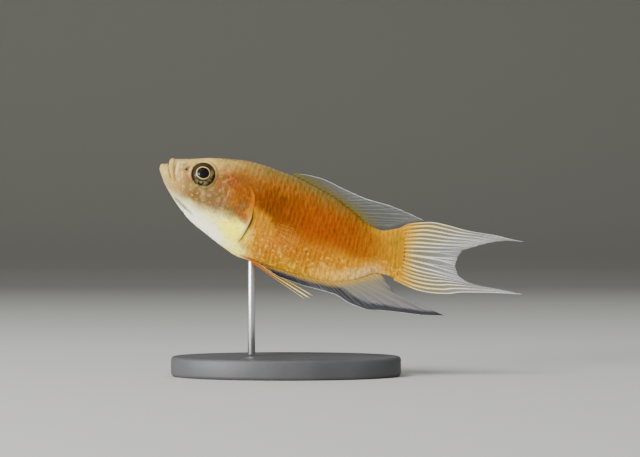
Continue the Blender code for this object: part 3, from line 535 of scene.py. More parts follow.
def scale_coat(name, ground_at, roots, lengths, halves, sides, lift, own):
    """Scales as closed plates joined into one piece. A root is its station and its share of the half
    girth; length is in millimetres, half the width in shares of the half girth."""
    columns, rows = len(SCALE_ALONG), len(SCALE_ACROSS)
    along, across = (g.ravel() for g in np.meshgrid(SCALE_ALONG, SCALE_ACROSS, indexing="ij"))
    corner = 1 - 0.12 * np.abs(across) ** 4 * smooth_step(0.5, 1.0, along)
    reach = along * (1 - 0.13 * np.abs(across) ** 2.4)
    count, per = len(roots), columns * rows
    station = roots[:, 0, None] + lengths[:, None] * (reach - SCALE_HIDDEN)
    share = roots[:, 1, None] + halves[:, None] * across * corner
    angle = angle_of(station, share) * sides[:, None]
    ground = ground_at(station, angle)
    top = lift[:, None] * (along ** 1.5 * 1.6 - 0.9) + 0.012 * (1 - across ** 2) * smooth_step(0, 0.6, along)
    points = np.concatenate([above_body(station, angle, ground + proud)
                             for proud in (top, top - SCALE_THICK)], axis=1)
    faces = []
    for i in range(columns - 1):
        for j in range(rows - 1):
            k = i * rows + j
            faces.append((k, k + 1, k + rows + 1, k + rows))
            faces.append((per + k, per + k + rows, per + k + rows + 1, per + k + 1))
    rim = ([i * rows for i in range(columns)] + [(columns - 1) * rows + j for j in range(1, rows)]
           + [i * rows + rows - 1 for i in range(columns - 2, -1, -1)] + list(range(rows - 2, 0, -1)))
    for first, second in zip(rim, rim[1:] + rim[:1]):
        faces.append((first, second, per + second, per + first))
    faces = np.array(faces)
    all_faces = (faces[None] + (np.arange(count) * 2 * per)[:, None, None]).reshape(-1, 4)
    flip = np.repeat(sides < 0, len(faces))
    all_faces[flip] = all_faces[flip][:, ::-1]
    mesh = bpy.data.meshes.new(name)
    mesh.from_pydata(on_stand(points).reshape(-1, 3), [], all_faces.tolist())
    piece = bpy.data.objects.new(name, mesh)
    bpy.context.scene.collection.objects.link(piece)
    stations = np.concatenate([station, station], axis=1).ravel()
    heights = np.concatenate([height_up(station, angle)] * 2, axis=1).ravel()
    edge = np.tile(np.concatenate([along, along]), count)
    write_notes(mesh, place_notes(stations, heights, points.reshape(-1, 3), edge, np.repeat(own, 2 * per)))
    unwrap = mesh.uv_layers.new(name="OFBake")
    turn = angle_of(roots[:, 0], roots[:, 1]) * sides / (2 * math.pi) % 1.0
    patch = np.stack([np.tile(along, 2), np.tile(across, 2) / 2], axis=-1) * UNWRAP_PATCH
    spots = np.stack([roots[:, 0] / TAIL_END * 0.98 + 0.01, turn * 0.98 + 0.01], axis=-1)[:, None] + patch
    unwrap.data.foreach_set("uv", spots.reshape(-1, 2)[all_faces.ravel()].astype(np.float32).ravel())
    bpy.ops.object.select_all(action="DESELECT")
    piece.select_set(True)
    bpy.context.view_layer.objects.active = piece
    bpy.ops.object.mode_set(mode="EDIT")
    bpy.ops.mesh.select_all(action="SELECT")
    bpy.ops.mesh.normals_make_consistent(inside=False)
    bpy.ops.object.mode_set(mode="OBJECT")
    bpy.ops.object.shade_smooth_by_angle(angle=math.radians(40))
    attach(piece, "root")
    return piece


def scale_rows(rows, first, last, pitches, wanted, rng):
    """Staggered columns of scales on both sides wherever wanted(station, height, x, z, pitch) holds."""
    found, station, column = [], first, 0
    while station < last:
        pitch = float(np.interp(station, *pitches))
        for row in range(rows + 1 - column % 2):
            share = (row + 0.5 * (column % 2)) / rows
            at = station + rng.normal(0, 0.03 + 0.09 * (station > 42)) * pitch
            for nudge in (0.0, 0.5):
                at += nudge * pitch
                angle = angle_of(np.array(at), np.array(share))
                point = on_body(np.array(at), angle)
                fits = wanted(at, float(height_up(at, angle)), float(point[0]), float(point[2]), pitch)
                if fits:
                    break
            if fits:
                found.append((at, share + rng.normal(0, 0.03) / rows, pitch * SCALE_LAP * rng.uniform(0.97, 1.04),
                              SCALE_HALF / rows * rng.uniform(0.98, 1.05)))
        station += pitch
        column += 1
    found = np.array(found)
    other = found[(found[:, 1] > 0.4 / rows) & (found[:, 1] < 1 - 0.4 / rows)]
    both = np.concatenate([found, other])
    sides = np.concatenate([np.ones(len(found)), -np.ones(len(other))])
    return both[:, :2], both[:, 2], both[:, 3], sides


def under_trunk(station, angle):
    """The skin below the trunk's scales, whose first roots lie under the gill cover."""
    return np.where(height_up(station, angle) > 0.8, head_relief(station, angle), 0.0)


def scale_tip(station, pitch):
    return station + (1 - SCALE_HIDDEN) * SCALE_LAP * pitch


def on_trunk(station, height, x, z, pitch):
    if height > 0.80:
        return from_eye(x, z) > 1.3 and station > 9.6
    tail_root = 51.1 + 0.3 * math.sin(height * 9)
    return station > gill_edge(height) - 0.8 and scale_tip(station, pitch) < tail_root


def on_cheek(station, height, x, z, pitch):
    return (from_eye(x, z) > 0.9 and station > 9.2 and 0.27 < height < 0.82
            and scale_tip(station, pitch) < gill_edge(height) - 0.25)


# Each coat: its rows round the half girth, first and last station, pitch against station, where its
# scales grow, what they stand on and how far their tips lift. They lie flatter towards the tail fin.
TRUNK_PITCH = ((9, 14, 20, 38, 46, 51), (0.62, 0.85, 0.95, 0.93, 0.84, 0.74))
CHEEK_PITCH = ((9,), (0.62,))
FLATTER = ((42, 48, 51), (1.0, 0.6, 0.15))
rng = np.random.default_rng(7)
coats = []
for name, rows, first, last, pitches, wanted, ground_at, lift in (
        ("scales_body", SCALE_ROWS, 9.0, 52.0, TRUNK_PITCH, on_trunk, under_trunk, 0.036),
        ("scales_cheek", CHEEK_ROWS, 9.0, 20.6, CHEEK_PITCH, on_cheek, head_relief, 0.026)):
    roots, lengths, halves, sides = scale_rows(rows, first, last, pitches, wanted, rng)
    lift = lift * rng.uniform(0.85, 1.2, len(roots)) * np.interp(roots[:, 0], *FLATTER)
    coats.append(scale_coat(name, ground_at, roots, lengths, halves, sides, lift, rng.uniform(0, 1, len(roots))))

# Thin clear bone over pigment. The rear edge is paler as a painted highlight, the part just behind the next
# scale's edge is darker as painted shade, each scale is a little lighter or darker than its neighbours, and fine
# upright streaks cross them.
scale_finish, tree, shader = new_finish("fish_scale")
colour, edge, chance, fine, streaky = markings(tree)
bright = add(tree, "Math", (chance, 0.10, 0.80), operation="MULTIPLY_ADD")
# a painted highlight along each scale's rear edge, and painted shade just behind the edge of the scale over it
for start, end, gain in ((0.80, 0.96, 0.14), (0.86, 0.64, -0.10)):
    part = add(tree, "MapRange", (edge, start, end, 0.0, gain), **SMOOTH)
    bright = add(tree, "Math", (bright, part), operation="ADD")
for pattern, gain in ((fine, 0.30), (streaky, 1.25)):
    bright = add(tree, "Math", (pattern, gain, bright), operation="MULTIPLY_ADD")
shaded = add(tree, "VectorMath", (colour, bright), operation="SCALE")
plug(tree, shader, {"Base Color": shaded, "Roughness": 0.34, "Specular IOR Level": 0.08, "Coat Weight": 0.05,
                    "Coat Roughness": 0.10})
for coat in coats:
    dress(coat, scale_finish)

# Eyes.
# A ball with a clear front over a dark iris ringed with gold, and a black pupil half as wide as the ball
# and a little wider than tall. Like a taxidermist's glass eye, the iris shows through one hard clear coat.

EYE_DEPTH, PUPIL_RIM, BALL_GROOVE = 1.5, 0.06, 0.05
EYE_TOE_IN, EYE_TILT = math.radians(6.0), math.radians(9.0)
PUPIL, GOLD_IN, GOLD_OUT = 0.515, 0.54, 0.625


def eye_place(side):
    """The eyeball as u turns round it and v runs from the pupil's middle to the middle of its back."""
    def place(u, v):
        turn, polar = u * 2 * math.pi, v * math.pi
        radial, front = np.sin(polar), np.cos(polar)
        ring = radial * (front > 0)
        depth = EYE_DEPTH * front
        depth += (PUPIL_RIM * bump(ring - 0.53, 0.05) - BALL_GROOVE * bump(ring - 0.98, 0.05)) * (front > 0)
        x, z = EYE_RADIUS * radial * np.cos(turn), EYE_RADIUS * radial * np.sin(turn)
        y = depth * side
        toe, tilt = side * EYE_TOE_IN, side * EYE_TILT
        x, y = x * math.cos(toe) - y * math.sin(toe), x * math.sin(toe) + y * math.cos(toe)
        y, z = y * math.cos(tilt) - z * math.sin(tilt), y * math.sin(tilt) + z * math.cos(tilt)
        points = np.stack([x + EYE[0], y + side * EYE[1], z + EYE[2]], axis=-1)
        radial = np.where(front > 0, radial, 2.0 - radial)
        return points, {"iris": (radial / 2, np.cos(turn) * 0.5 + 0.5, np.sin(turn) * 0.5 + 0.5)}
    return place


# glass over a painted iris: hard, smooth and clear, so that the lights show as small sharp points
eye_finish, tree, shader = new_finish("glass_eye")
iris = add(tree, "Attribute", attribute_name="iris").outputs["Vector"]
radial, rearward, upward = add(tree, "SeparateXYZ", (iris,)).outputs
# flecks of about two thirds of a millimetre, which also make the rings a little uneven
where = add(tree, "TexCoord").outputs["Object"]
flecks = add(tree, "TexNoise", (where, 1500.0, 4.0))
wobble = add(tree, "Math", (flecks, 0.03, -0.015), operation="MULTIPLY_ADD")
taller = add(tree, "Math", (upward, 2.0, -1.0), operation="MULTIPLY_ADD")
taller = add(tree, "Math", (taller, taller), operation="MULTIPLY")
taller = add(tree, "Math", (taller, 0.13, 1.0), operation="MULTIPLY_ADD")
out = add(tree, "Math", (radial, taller, wobble), operation="MULTIPLY_ADD")
rings = add(tree, "ValToRGB", (out,), (
    (0.0, "#040305"), (PUPIL / 2, "#050406"), (GOLD_IN / 2, "#c8b468"), (GOLD_OUT / 2 - 0.018, "#a47424"),
    (GOLD_OUT / 2, "#3c2a10"), (0.36, "#1c160e"), (0.42, "#2a2416"), (0.47, "#1a150e"), (0.52, "#120f0c")))
# grey-green patches in the outer iris, low down and at the rear
low_down, past_front, at_rear, outer, patchy = (add(tree, "MapRange", window) for window in (
    (upward, 0.4, 0.05), (rearward, 0.15, 0.5), (rearward, 0.8, 1.0), (radial, 0.31, 0.34), (flecks, 0.42, 0.58)))
corner = add(tree, "Math", (low_down, past_front), operation="MULTIPLY")
corner = add(tree, "Math", (corner, at_rear), operation="MAXIMUM")
corner = add(tree, "Math", (corner, 0.62, 0.03), operation="MULTIPLY_ADD")
for window in (outer, corner):
    patchy = add(tree, "Math", (patchy, window), operation="MULTIPLY")
iris_colour = add(tree, "Mix", (patchy, rings, paint("#8c8660")), data_type="RGBA")
plug(tree, shader, {"Base Color": iris_colour, "Roughness": 0.4, "Specular IOR Level": 0.05, "Coat Weight": 0.3,
                    "Coat Roughness": 0.02})
for side, word in ((-1, "left"), (1, "right")):
    eye = grid_piece(f"eyeball_{word}", 64, 48, eye_place(side))
    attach(eye, "root")
    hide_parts(f"eye_{word}")
    dress(eye, eye_finish)

# Dorsal, anal and tail fins.
# Each is a clear membrane stretched over jointed rays that fork towards the margin. The rays stand up as
# ridges on both faces, and the rear edge is scalloped between them.

WAVE, WAVES = 0.45, 1.3
TAIL_LIFT = math.radians(12.8)
TAIL_CENTRE = np.array([50.75, 0.15])
RAY_HALF, MEMBRANE_HALF = 0.13, 0.035


def plane_curve(points):
    """A smooth plane curve through the points against the share of its length."""
    points = np.array(points, float)
    far = np.concatenate([[0.0], np.cumsum(np.linalg.norm(np.diff(points, axis=0), axis=1))])
    across = [smooth_curve(far / far[-1], points[:, k]) for k in range(2)]
    return lambda share: np.stack([f(share) for f in across], axis=-1)


def ray_ridge(share, out, rays, forks):
    """1 on a ray's middle line and 0 on the membrane. A ray forks at each of the shares in forks."""
    place = share * (rays - 1)
    nearest = np.rint(place)
    branch = np.abs(place - nearest)
    for k, fork in enumerate(forks):
        branch = np.abs(branch - 0.25 / 2 ** k * smooth_step(fork, 1.0, out))
    width = (0.11 + 0.06 * (1 - out) - 0.025 * len(forks) * out) * (1 + 0.22 * np.sin(nearest * 2.4 + 1))
    return bump(branch, width), nearest


def fin_piece(name, base, margin, rays, across=None, bow=None, forks=(0.35, 0.68), fine=8, rows=64,
              thick=1.0, scallop=0.03, sink=0.35, lead=None, lead_to=0.0):
    """A fin as one closed sheet: the left face, then the right face back again. Each point notes how far
    it lies from the leading edge, which the rays' tips make up to the share lead_to."""
    columns = (rays - 1) * fine

    def place(u, v):
        left = u < 0.5
        share = np.where(left, u * 2, 2 - u * 2)
        ridge, nearest = ray_ridge(share, v, rays, forks)
        between_rays = np.abs(share * (rays - 1) - nearest) * 2
        reach = v * (1 - scallop * between_rays ** 2 * smooth_step(0.75, 1.0, v))
        start, end = base(share), margin(share)
        run = end - start
        length = np.maximum(np.linalg.norm(run, axis=-1), 1e-6)
        start = start - run / length[:, None] * sink
        flat = start * (1 - reach)[:, None] + end * reach[:, None]
        if bow:
            flat = flat + bow(reach) * ((1 - share) ** 1.5)[:, None]
        half = MEMBRANE_HALF + (RAY_HALF - MEMBRANE_HALF) * ridge * (1 - 0.6 * v)
        half = half * thick * smooth_step(0.0, 0.02, v) * (1 - smooth_step(0.96, 1.0, v) * 0.999)
        rim = (u < 1e-6) | (np.abs(u - 0.5) < 1e-6) | (u > 1 - 1e-6) | (v < 1e-6) | (v > 1 - 1e-6)
        half = np.where(rim, 0.0, half)
        wave = WAVE * reach ** 2 * np.sin(2 * math.pi * WAVES * share)
        middle = swing(flat[:, 0]) + wave if across is None else across(flat[:, 0], flat[:, 1], share)
        y = middle + np.where(left, -half, half)
        points = np.stack([flat[:, 0], y, flat[:, 1]], axis=-1)
        inward = length * (1 - v)
        if lead is not None:
            near = np.min(np.hypot(flat[:, 0, None] - lead[:, 0], flat[:, 1, None] - lead[:, 1]), axis=1)
            inward = np.where(share <= lead_to, np.minimum(near, inward), near)
        return points, {"ray": (ridge, v, share), "reach": (v * length / LENGTH, inward / LENGTH, between_rays)}

    return grid_piece(name, 2 * columns, rows, place, merge=2e-8)


def leaning_margin(front, rear, base_length, rays, tip_ray, lean):
    """The outer ends of a fin's rays. They lean back along the front edge, each a little more than the
    last, up to the tip ray, and the rest end along the rear edge."""
    front_curve, rear_curve = plane_curve(front), plane_curve(rear)
    first, build, extra, power = lean
    whole = base_length * tip_ray / (rays - 1) + first + extra

    def margin(share):
        ray = share * (rays - 1)
        leaned = first * np.minimum(1.0, ray / build) + extra * np.minimum(ray / tip_ray, 1.0) ** power
        fore = front_curve((base_length * ray / (rays - 1) + leaned) / whole)
        hind = rear_curve((ray - tip_ray) / (rays - 1 - tip_ray))
        return np.where((ray > tip_ray)[..., None], hind, fore)

    return margin


def membrane_finish(name, webs, bones, clear, bone_clear, rim_paint, rim_wide, base_paint, base_reach,
                    dark=None, broad=(0.5, 0.5), uneven=0.45, faint_front=0.0, root_front=1.0):
    """Clear skin over pale jointed rays. The webs and the bones run from base to margin. The rim is a
    pale line along the leading edge, and dark is a band inside it with its width in millimetres. Low
    figures in broad draw wide rays, at the base and at the margin, uneven lets some rays fade,
    faint_front hides the rays of the fin's front, and root_front shortens the body's colour there."""
    finish, tree, shader = new_finish(name)
    ray, reach = (add(tree, "Attribute", attribute_name=note).outputs["Vector"] for note in ("ray", "reach"))
    ridge, outward, share = add(tree, "SeparateXYZ", (ray,)).outputs
    from_base, inward = add(tree, "SeparateXYZ", (reach,)).outputs[:2]
    # clouds a millimetre and a half across, and a joint in the bone every 0.6 mm
    where = add(tree, "TexCoord").outputs["Object"]
    cloud = add(tree, "TexNoise", (where, 700.0, 4.0))
    wander = add(tree, "Math", (cloud, 0.5), operation="SUBTRACT")
    out = add(tree, "Math", (wander, 0.16, outward), operation="MULTIPLY_ADD")
    joints = add(tree, "Math", (from_base, 2 * math.pi * LENGTH / 0.6), operation="MULTIPLY")
    joints = add(tree, "Math", (joints,), operation="SINE")
    chance = add(tree, "TexNoise", (add(tree, "Math", (share, 16.0), operation="MULTIPLY"), 1.0, 1.0),
                 noise_dimensions="1D")
    narrow = add(tree, "MapRange", (out, 0.1, 0.8, broad[0] * 2, broad[1] * 2), **SMOOTH)
    on_ray = add(tree, "MapRange", (ridge, 0.0, narrow), **SMOOTH)
    for fade in ((joints, -1.0, -0.5, 0.86, 1.0), (share, 0.2, 0.6, 1.0 - faint_front, 1.0),
                 (chance, 0.3, 0.6, 1.0 - uneven, 1.0)):
        on_ray = add(tree, "Math", (on_ray, add(tree, "MapRange", fade, **SMOOTH)), operation="MULTIPLY")
    webs, bones, clear, bone_clear = (add(tree, "ValToRGB", (out,), stops)
                                      for stops in (webs, bones, clear, bone_clear))
    colour = add(tree, "Mix", (on_ray, webs, bones), data_type="RGBA")
    alpha = add(tree, "Mix", (on_ray, clear, bone_clear))

    if dark:
        dark_wide, dark_paint = dark
        striped = on_ray
        for window in ((share, 0.1, 0.3), (share, 0.85, 0.55)):
            window = add(tree, "MapRange", window, **SMOOTH)
            striped = add(tree, "Math", (striped, window), operation="MULTIPLY")
        depth = add(tree, "Math", (wander, 0.008, inward), operation="MULTIPLY_ADD")
        depth = add(tree, "Math", (striped, 0.006, depth), operation="MULTIPLY_ADD")
        wide = dark_wide / LENGTH
        for width in ((share, 0.45, 0.85, wide, wide / 4), (share, 0.15, 0.50, 0.42, 1.0)):
            depth = add(tree, "Math", (depth, add(tree, "MapRange", width, **SMOOTH)), operation="DIVIDE")
        full = add(tree, "MapRange", (share, 0.3, 0.8, 0.15, 0.5), **SMOOTH)
        band = add(tree, "MapRange", (depth, 1.0, full), **SMOOTH)
        between_rays = add(tree, "Math", (striped, -0.45, 1.0), operation="MULTIPLY_ADD")
        band = add(tree, "Math", (band, between_rays), operation="MULTIPLY")
        colour = add(tree, "Mix", (band, colour, paint(dark_paint)), data_type="RGBA")
        solid = add(tree, "Math", (band, 0.97), operation="MULTIPLY")
        alpha = add(tree, "Math", (alpha, solid), operation="MAXIMUM")

    rim = add(tree, "MapRange", (inward, rim_wide / LENGTH, rim_wide / LENGTH / 1.8), **SMOOTH)
    rim = add(tree, "Math", (rim, add(tree, "MapRange", (outward, 0.12, 0.3), **SMOOTH)), operation="MULTIPLY")
    colour = add(tree, "Mix", (rim, colour, paint(rim_paint)), data_type="RGBA")
    short = add(tree, "MapRange", (share, 0.15, 0.6, root_front, 1.0), **SMOOTH)
    root = add(tree, "Math", (from_base, short), operation="DIVIDE")
    root = add(tree, "Math", (wander, 0.4 * base_reach / LENGTH, root), operation="MULTIPLY_ADD")
    root = add(tree, "MapRange", (root, base_reach / LENGTH, 0.0), **SMOOTH)
    colour = add(tree, "Mix", (root, colour, paint(base_paint)), data_type="RGBA")
    for solid in (add(tree, "Math", (rim, 0.85), operation="MULTIPLY"),
                  add(tree, "MapRange", (from_base, base_reach / LENGTH / 1.8, 0.0), **SMOOTH)):
        alpha = add(tree, "Math", (alpha, solid), operation="MAXIMUM", use_clamp=True)
    plug(tree, shader, {"Base Color": colour, "Alpha": alpha, "Roughness": 0.4, "Specular IOR Level": 0.25})
    return finish


def edge_line(points):
    return plane_curve(points)(np.linspace(0, 1, 240))


def rooted(span, x_at, z_at):
    """A fin's root line along the back or the belly, between two stations."""
    def base(share):
        station = span[0] + (span[1] - span[0]) * share
        return np.stack([x_at(station), z_at(station)], axis=-1)
    return base


DORSAL_RAYS, DORSAL_TIP_RAY = 21, 16
DORSAL_BASE = (25.4, 44.7)
DORSAL_MARGIN = ((25.75, 7.95), (28.8, 8.63), (31.5, 8.85), (36.0, 8.42), (41.0, 8.12), (46.0, 8.48),
                 (50.5, 8.30), (53.0, 8.05))
DORSAL_REAR = ((53.0, 8.05), (50.9, 6.85), (49.0, 5.60), (47.0, 4.25))
DORSAL_LEAN = (2.2, 3, 9.6, 3.0)
fin_dorsal = fin_piece(
    "dorsal_fin", rooted(DORSAL_BASE, back_x, back_z),
    leaning_margin(DORSAL_MARGIN, DORSAL_REAR, DORSAL_BASE[1] - DORSAL_BASE[0], DORSAL_RAYS, DORSAL_TIP_RAY,
                   DORSAL_LEAN), DORSAL_RAYS, forks=(0.5,), scallop=0.012,
    lead=edge_line(DORSAL_MARGIN), lead_to=DORSAL_TIP_RAY / (DORSAL_RAYS - 1))
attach(fin_dorsal, "root")
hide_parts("fin_dorsal")
dress(fin_dorsal, membrane_finish(
    "dorsal_membrane", ((0.0, "#504c28"), (0.25, "#4a4a42"), (0.6, "#525450"), (1.0, "#5c5e5c")),
    ((0.0, "#746434"), (0.4, "#7c7c76"), (1.0, "#94948e")),
    ((0.0, 0.7), (0.25, 0.4), (0.6, 0.28), (1.0, 0.22)), ((0.0, 0.8), (0.5, 0.5), (1.0, 0.38)),
    "#dcdcd8", 0.11, "#645818", 3.8, broad=(0.6, 0.6), faint_front=0.8))

ANAL_RAYS, ANAL_TIP_RAY = 28, 23
ANAL_BASE = (26.2, 47.4)
ANAL_MARGIN = ((26.3, -11.95), (28.0, -12.3), (30.2, -12.58), (34.5, -12.55), (38.6, -12.15),
               (41.5, -11.95), (45.2, -12.6), (48.0, -12.65), (51.3, -11.75), (55.2, -10.75),
               (59.1, -9.8), (63.6, -8.3))
ANAL_REAR = ((63.6, -8.3), (60.8, -8.6), (57.0, -8.95), (54.4, -8.6), (52.6, -7.6), (51.0, -6.2),
             (49.7, -5.5))
ANAL_LEAN = (1.8, 4, 16.8, 5.0)
fin_anal = fin_piece(
    "anal_fin", rooted(ANAL_BASE, belly_x, belly_z),
    leaning_margin(ANAL_MARGIN, ANAL_REAR, ANAL_BASE[1] - ANAL_BASE[0], ANAL_RAYS, ANAL_TIP_RAY, ANAL_LEAN),
    ANAL_RAYS, forks=(0.3, 0.62), scallop=0.012, lead=edge_line(ANAL_MARGIN),
    lead_to=ANAL_TIP_RAY / (ANAL_RAYS - 1))
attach(fin_anal, "root")
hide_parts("fin_anal")
dress(fin_anal, membrane_finish(
    "anal_membrane", ((0.0, "#78683c"), (0.2, "#6c6654"), (0.5, "#66625a"), (1.0, "#5e5c5c")),
    ((0.0, "#80744c"), (0.3, "#746f62"), (0.6, "#6e6a70"), (1.0, "#6c6a70")),
    ((0.0, 0.95), (0.4, 0.8), (1.0, 0.7)), ((0.0, 0.95), (1.0, 0.9)),
    "#c8cacc", 0.12, "#a88438", 2.4, dark=(4.6, "#232428"), faint_front=0.6, root_front=0.55))

LOBE_RAYS = 9
UPPER_OUTER = ((0.3, 5.0), (1.9, 6.1), (3.6, 6.6), (6.9, 7.1), (9.4, 6.85), (13.5, 6.3), (18.8, 6.1),
               (21.7, 5.75), (24.3, 5.55))
UPPER_INNER = ((24.3, 5.55), (21.1, 5.35), (18.8, 4.9), (16.2, 4.0), (14.2, 3.1), (12.2, 2.0), (11.5, 0.2))
LOWER_OUTER = ((0.3, 5.3), (3.1, 6.2), (5.2, 6.75), (7.5, 6.95), (11.2, 6.65), (13.2, 6.1), (17.1, 5.55),
               (21.1, 5.1), (25.4, 4.75))
LOWER_INNER = ((25.4, 4.75), (21.1, 4.4), (17.0, 4.2), (15.1, 4.0), (12.6, 3.0), (11.6, 1.6), (11.4, 0.2))
LOBE_SPREAD, LOBE_ROOT, LOBE_LAP = 0.88, 0.47, 0.2
FLESH_END = float(SECTION_AT[-3])

tail_membrane = membrane_finish(
    "tail_membrane", ((0.0, "#8c6414"), (0.16, "#74602c"), (0.4, "#767056"), (0.7, "#82817a"), (1.0, "#8c8c90")),
    ((0.0, "#c08c10"), (0.15, "#dcb850"), (0.32, "#e0d098"), (0.6, "#dcd8cc"), (1.0, "#c0bebe")),
    ((0.0, 0.98), (0.12, 0.75), (0.5, 0.5), (1.0, 0.36)), ((0.0, 1.0), (0.5, 0.95), (1.0, 0.6)),
    "#b4b2b4", 0.12, "#b07c10", 4.4, broad=(0.06, 0.60))


def tail_lobe(name, up, outer_edge, inner_edge):
    """One half of the tail fin, the upper with up as 1 and the lower as -1. Its rays spread from the tail's
    end to the inner edge, and the outermost ones bow out to the outer edge."""
    cosine, sine = math.cos(TAIL_LIFT), math.sin(TAIL_LIFT)
    outer, inner = plane_curve(outer_edge), plane_curve(inner_edge)
    end = np.array(FLESH_END)
    back_end = np.array([back_x(end), back_z(end)])
    belly_end = np.array([belly_x(end), belly_z(end)])

    def in_body(point):
        t, n = point[..., 0], point[..., 1] * up
        return TAIL_CENTRE + np.stack([t * cosine - n * sine, t * sine + n * cosine], axis=-1)

    def base(share):
        level = 0.5 + up * LOBE_ROOT * (1 - share)
        return belly_end + (back_end - belly_end) * level[..., None]

    def margin(share):
        edge = inner(share ** LOBE_SPREAD)
        edge[..., 1] -= LOBE_LAP * smooth_step(0.8, 1.0, share)
        return in_body(edge)

    def bow(reach):
        one = np.zeros(1)
        chord = base(one) * (1 - reach)[:, None] + margin(one) * reach[:, None]
        inside = ((reach > 0) & (reach < 1))[:, None]
        return np.where(inside, in_body(outer(reach)) - chord, 0.0)

    lobe = fin_piece(name, base, margin, LOBE_RAYS, bow=bow, fine=14, rows=90, scallop=0.015, sink=0.9,
                     lead=in_body(edge_line(outer_edge)))
    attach(lobe, "root")
    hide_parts(name.replace("tail_fin", "fin_caudal"))
    dress(lobe, tail_membrane)


tail_lobe("tail_fin_upper", 1, UPPER_OUTER, UPPER_INNER)
tail_lobe("tail_fin_lower", -1, LOWER_OUTER, LOWER_INNER)

# Pectoral fins.
# A small rounded fan on each side behind the gill cover, laid back along the flank and so clear that it
# hardly shows.

PECTORAL_RAYS = 10
PECTORAL_ROOT = ((21.9, -3.0), (22.4, -5.3))
PECTORAL_MARGIN = ((29.4, -2.2), (31.6, -4.4), (30.6, -6.8), (28.2, -8.5), (25.2, -8.3))
PECTORAL_SPLAY = 0.24
HALVINGS = 40


def side_out(x, z):
    """Half the body's width on a line across it at (x, z) of the side view, in millimetres."""
    low, high = np.full_like(x, SECTION_AT[0]), np.full_like(x, TAIL_END)
    for _ in range(HALVINGS):
        middle = (low + high) / 2
        rise_x, rise_z = back_x(middle) - belly_x(middle), back_z(middle) - belly_z(middle)
        behind = rise_z * (x - belly_x(middle)) - rise_x * (z - belly_z(middle)) > 0
        low, high = np.where(behind, middle, low), np.where(behind, high, middle)
    height = (z - belly_z(low)) / (back_z(low) - belly_z(low))
    widest = widest_at(low)
    cosine = np.where(height > widest, (height - widest) / (1 - widest), (widest - height) / widest)
    power = np.where(height > widest, full_above(low), full_below(low))
    return half_width(low) * np.sqrt(np.clip(1 - cosine ** 2, 0, 1)) ** power


pectoral_membrane = membrane_finish(
    "pectoral_membrane", ((0.0, "#a86800"), (1.0, "#a87410")),
    ((0.0, "#a86800"), (0.5, "#b07810"), (1.0, "#b88c30")),
    ((0.0, 0.08), (0.3, 0.02), (1.0, 0.01)), ((0.0, 0.28), (0.4, 0.12), (1.0, 0.08)),
    "#b88c30", 0.01, "#b07000", 0.5, uneven=0.0)
for side, word in ((-1, "left"), (1, "right")):
    root, margin = plane_curve(PECTORAL_ROOT), plane_curve(PECTORAL_MARGIN)

    def pectoral_across(x, z, share):
        start = root(share)
        away = np.hypot(x - start[:, 0], z - start[:, 1])
        return side * (side_out(start[:, 0], start[:, 1]) - 0.1 + 0.75 * smooth_step(0.0, 1.0, away)
                       + PECTORAL_SPLAY * away) + swing(start[:, 0])

    fin = fin_piece(f"pectoral_fin_{word}", root, margin, PECTORAL_RAYS, across=pectoral_across, forks=(0.45,),
                    fine=10, rows=40, thick=0.6, sink=0.3)
    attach(fin, "root")
    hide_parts(f"fin_pectoral_{word}")
    dress(fin, pectoral_membrane)

# Pelvic fins.
# Two long jointed rays side by side trail from the chest on each side, with a few short rays above them.

PELVIC_RAYS = 4
PELVIC_APART, PELVIC_SPLAY = 1.4, 0.03
PELVIC_ROOT_X, PELVIC_LOWEST = (20.6, 22.6), -12.6
PELVIC_MARGIN = ((36.8, -15.0), (34.0, -14.1), (37.4, -14.4), (33.5, -13.3), (28.3, -12.15),
                 (27.0, -11.95), (26.8, -11.75))
PELVIC_RIGHT_SHIFT = np.array([0.6, 0.5])

pelvic_membrane = membrane_finish(
    "pelvic_membrane", ((0.0, "#c89c60"), (0.2, "#b05c0c"), (0.5, "#805020"), (1.0, "#605c48")),
    ((0.0, "#d0a870"), (0.2, "#c86408"), (0.42, "#d07c00"), (0.7, "#dcb840"), (1.0, "#e8dca0")),
    ((0.0, 1.0), (0.35, 0.6), (0.7, 0.15), (1.0, 0.1)), ((0.0, 1.0), (1.0, 1.0)), "#d8cc9c", 0.01, "#c8a06c", 1.4,
    broad=(0.2, 0.1), uneven=0.0)
for side, word in ((-1, "left"), (1, "right")):
    shift = PELVIC_RIGHT_SHIFT if side > 0 else np.zeros(2)
    marks = np.array(PELVIC_MARGIN) + shift

    def pelvic_root(share):
        x = PELVIC_ROOT_X[0] + (PELVIC_ROOT_X[1] - PELVIC_ROOT_X[0]) * share
        low, high = np.full_like(x, PELVIC_LOWEST), np.zeros_like(x)
        for _ in range(HALVINGS):
            middle = (low + high) / 2
            inside = side_out(x, middle) > PELVIC_APART
            low, high = np.where(inside, low, middle), np.where(inside, middle, high)
        return np.stack([x, low], axis=-1)

    def pelvic_margin(share):
        place = share * (len(marks) - 1)
        return np.stack([np.interp(place, np.arange(len(marks)), marks[:, k]) for k in range(2)], axis=-1)

    def pelvic_across(x, z, share):
        return side * (PELVIC_APART + PELVIC_SPLAY * (x - PELVIC_ROOT_X[0])) + swing(x)

    fin = fin_piece(f"pelvic_fin_{word}", pelvic_root, pelvic_margin, PELVIC_RAYS, across=pelvic_across, forks=(),
                    fine=12, rows=60, thick=2.0, scallop=0.0, sink=0.15)
    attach(fin, "root")
    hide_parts(f"fin_pelvic_{word}")
    dress(fin, pelvic_membrane)

# Display stand.
# A flat oval foot of cast resin with eased edges, and one drawn steel rod that is glued into the foot
# and into the belly.

FOOT_SIZE = np.array([46.0, 28.0, 4.0])
FOOT_AT_X = -11.0


def ease_edges(piece, width, segments):
    edges = piece.modifiers.new("eased edges", "BEVEL")
    edges.width = width * MM
    edges.segments = segments
    edges.limit_method = "ANGLE"
    bpy.ops.object.modifier_apply(modifier=edges.name)


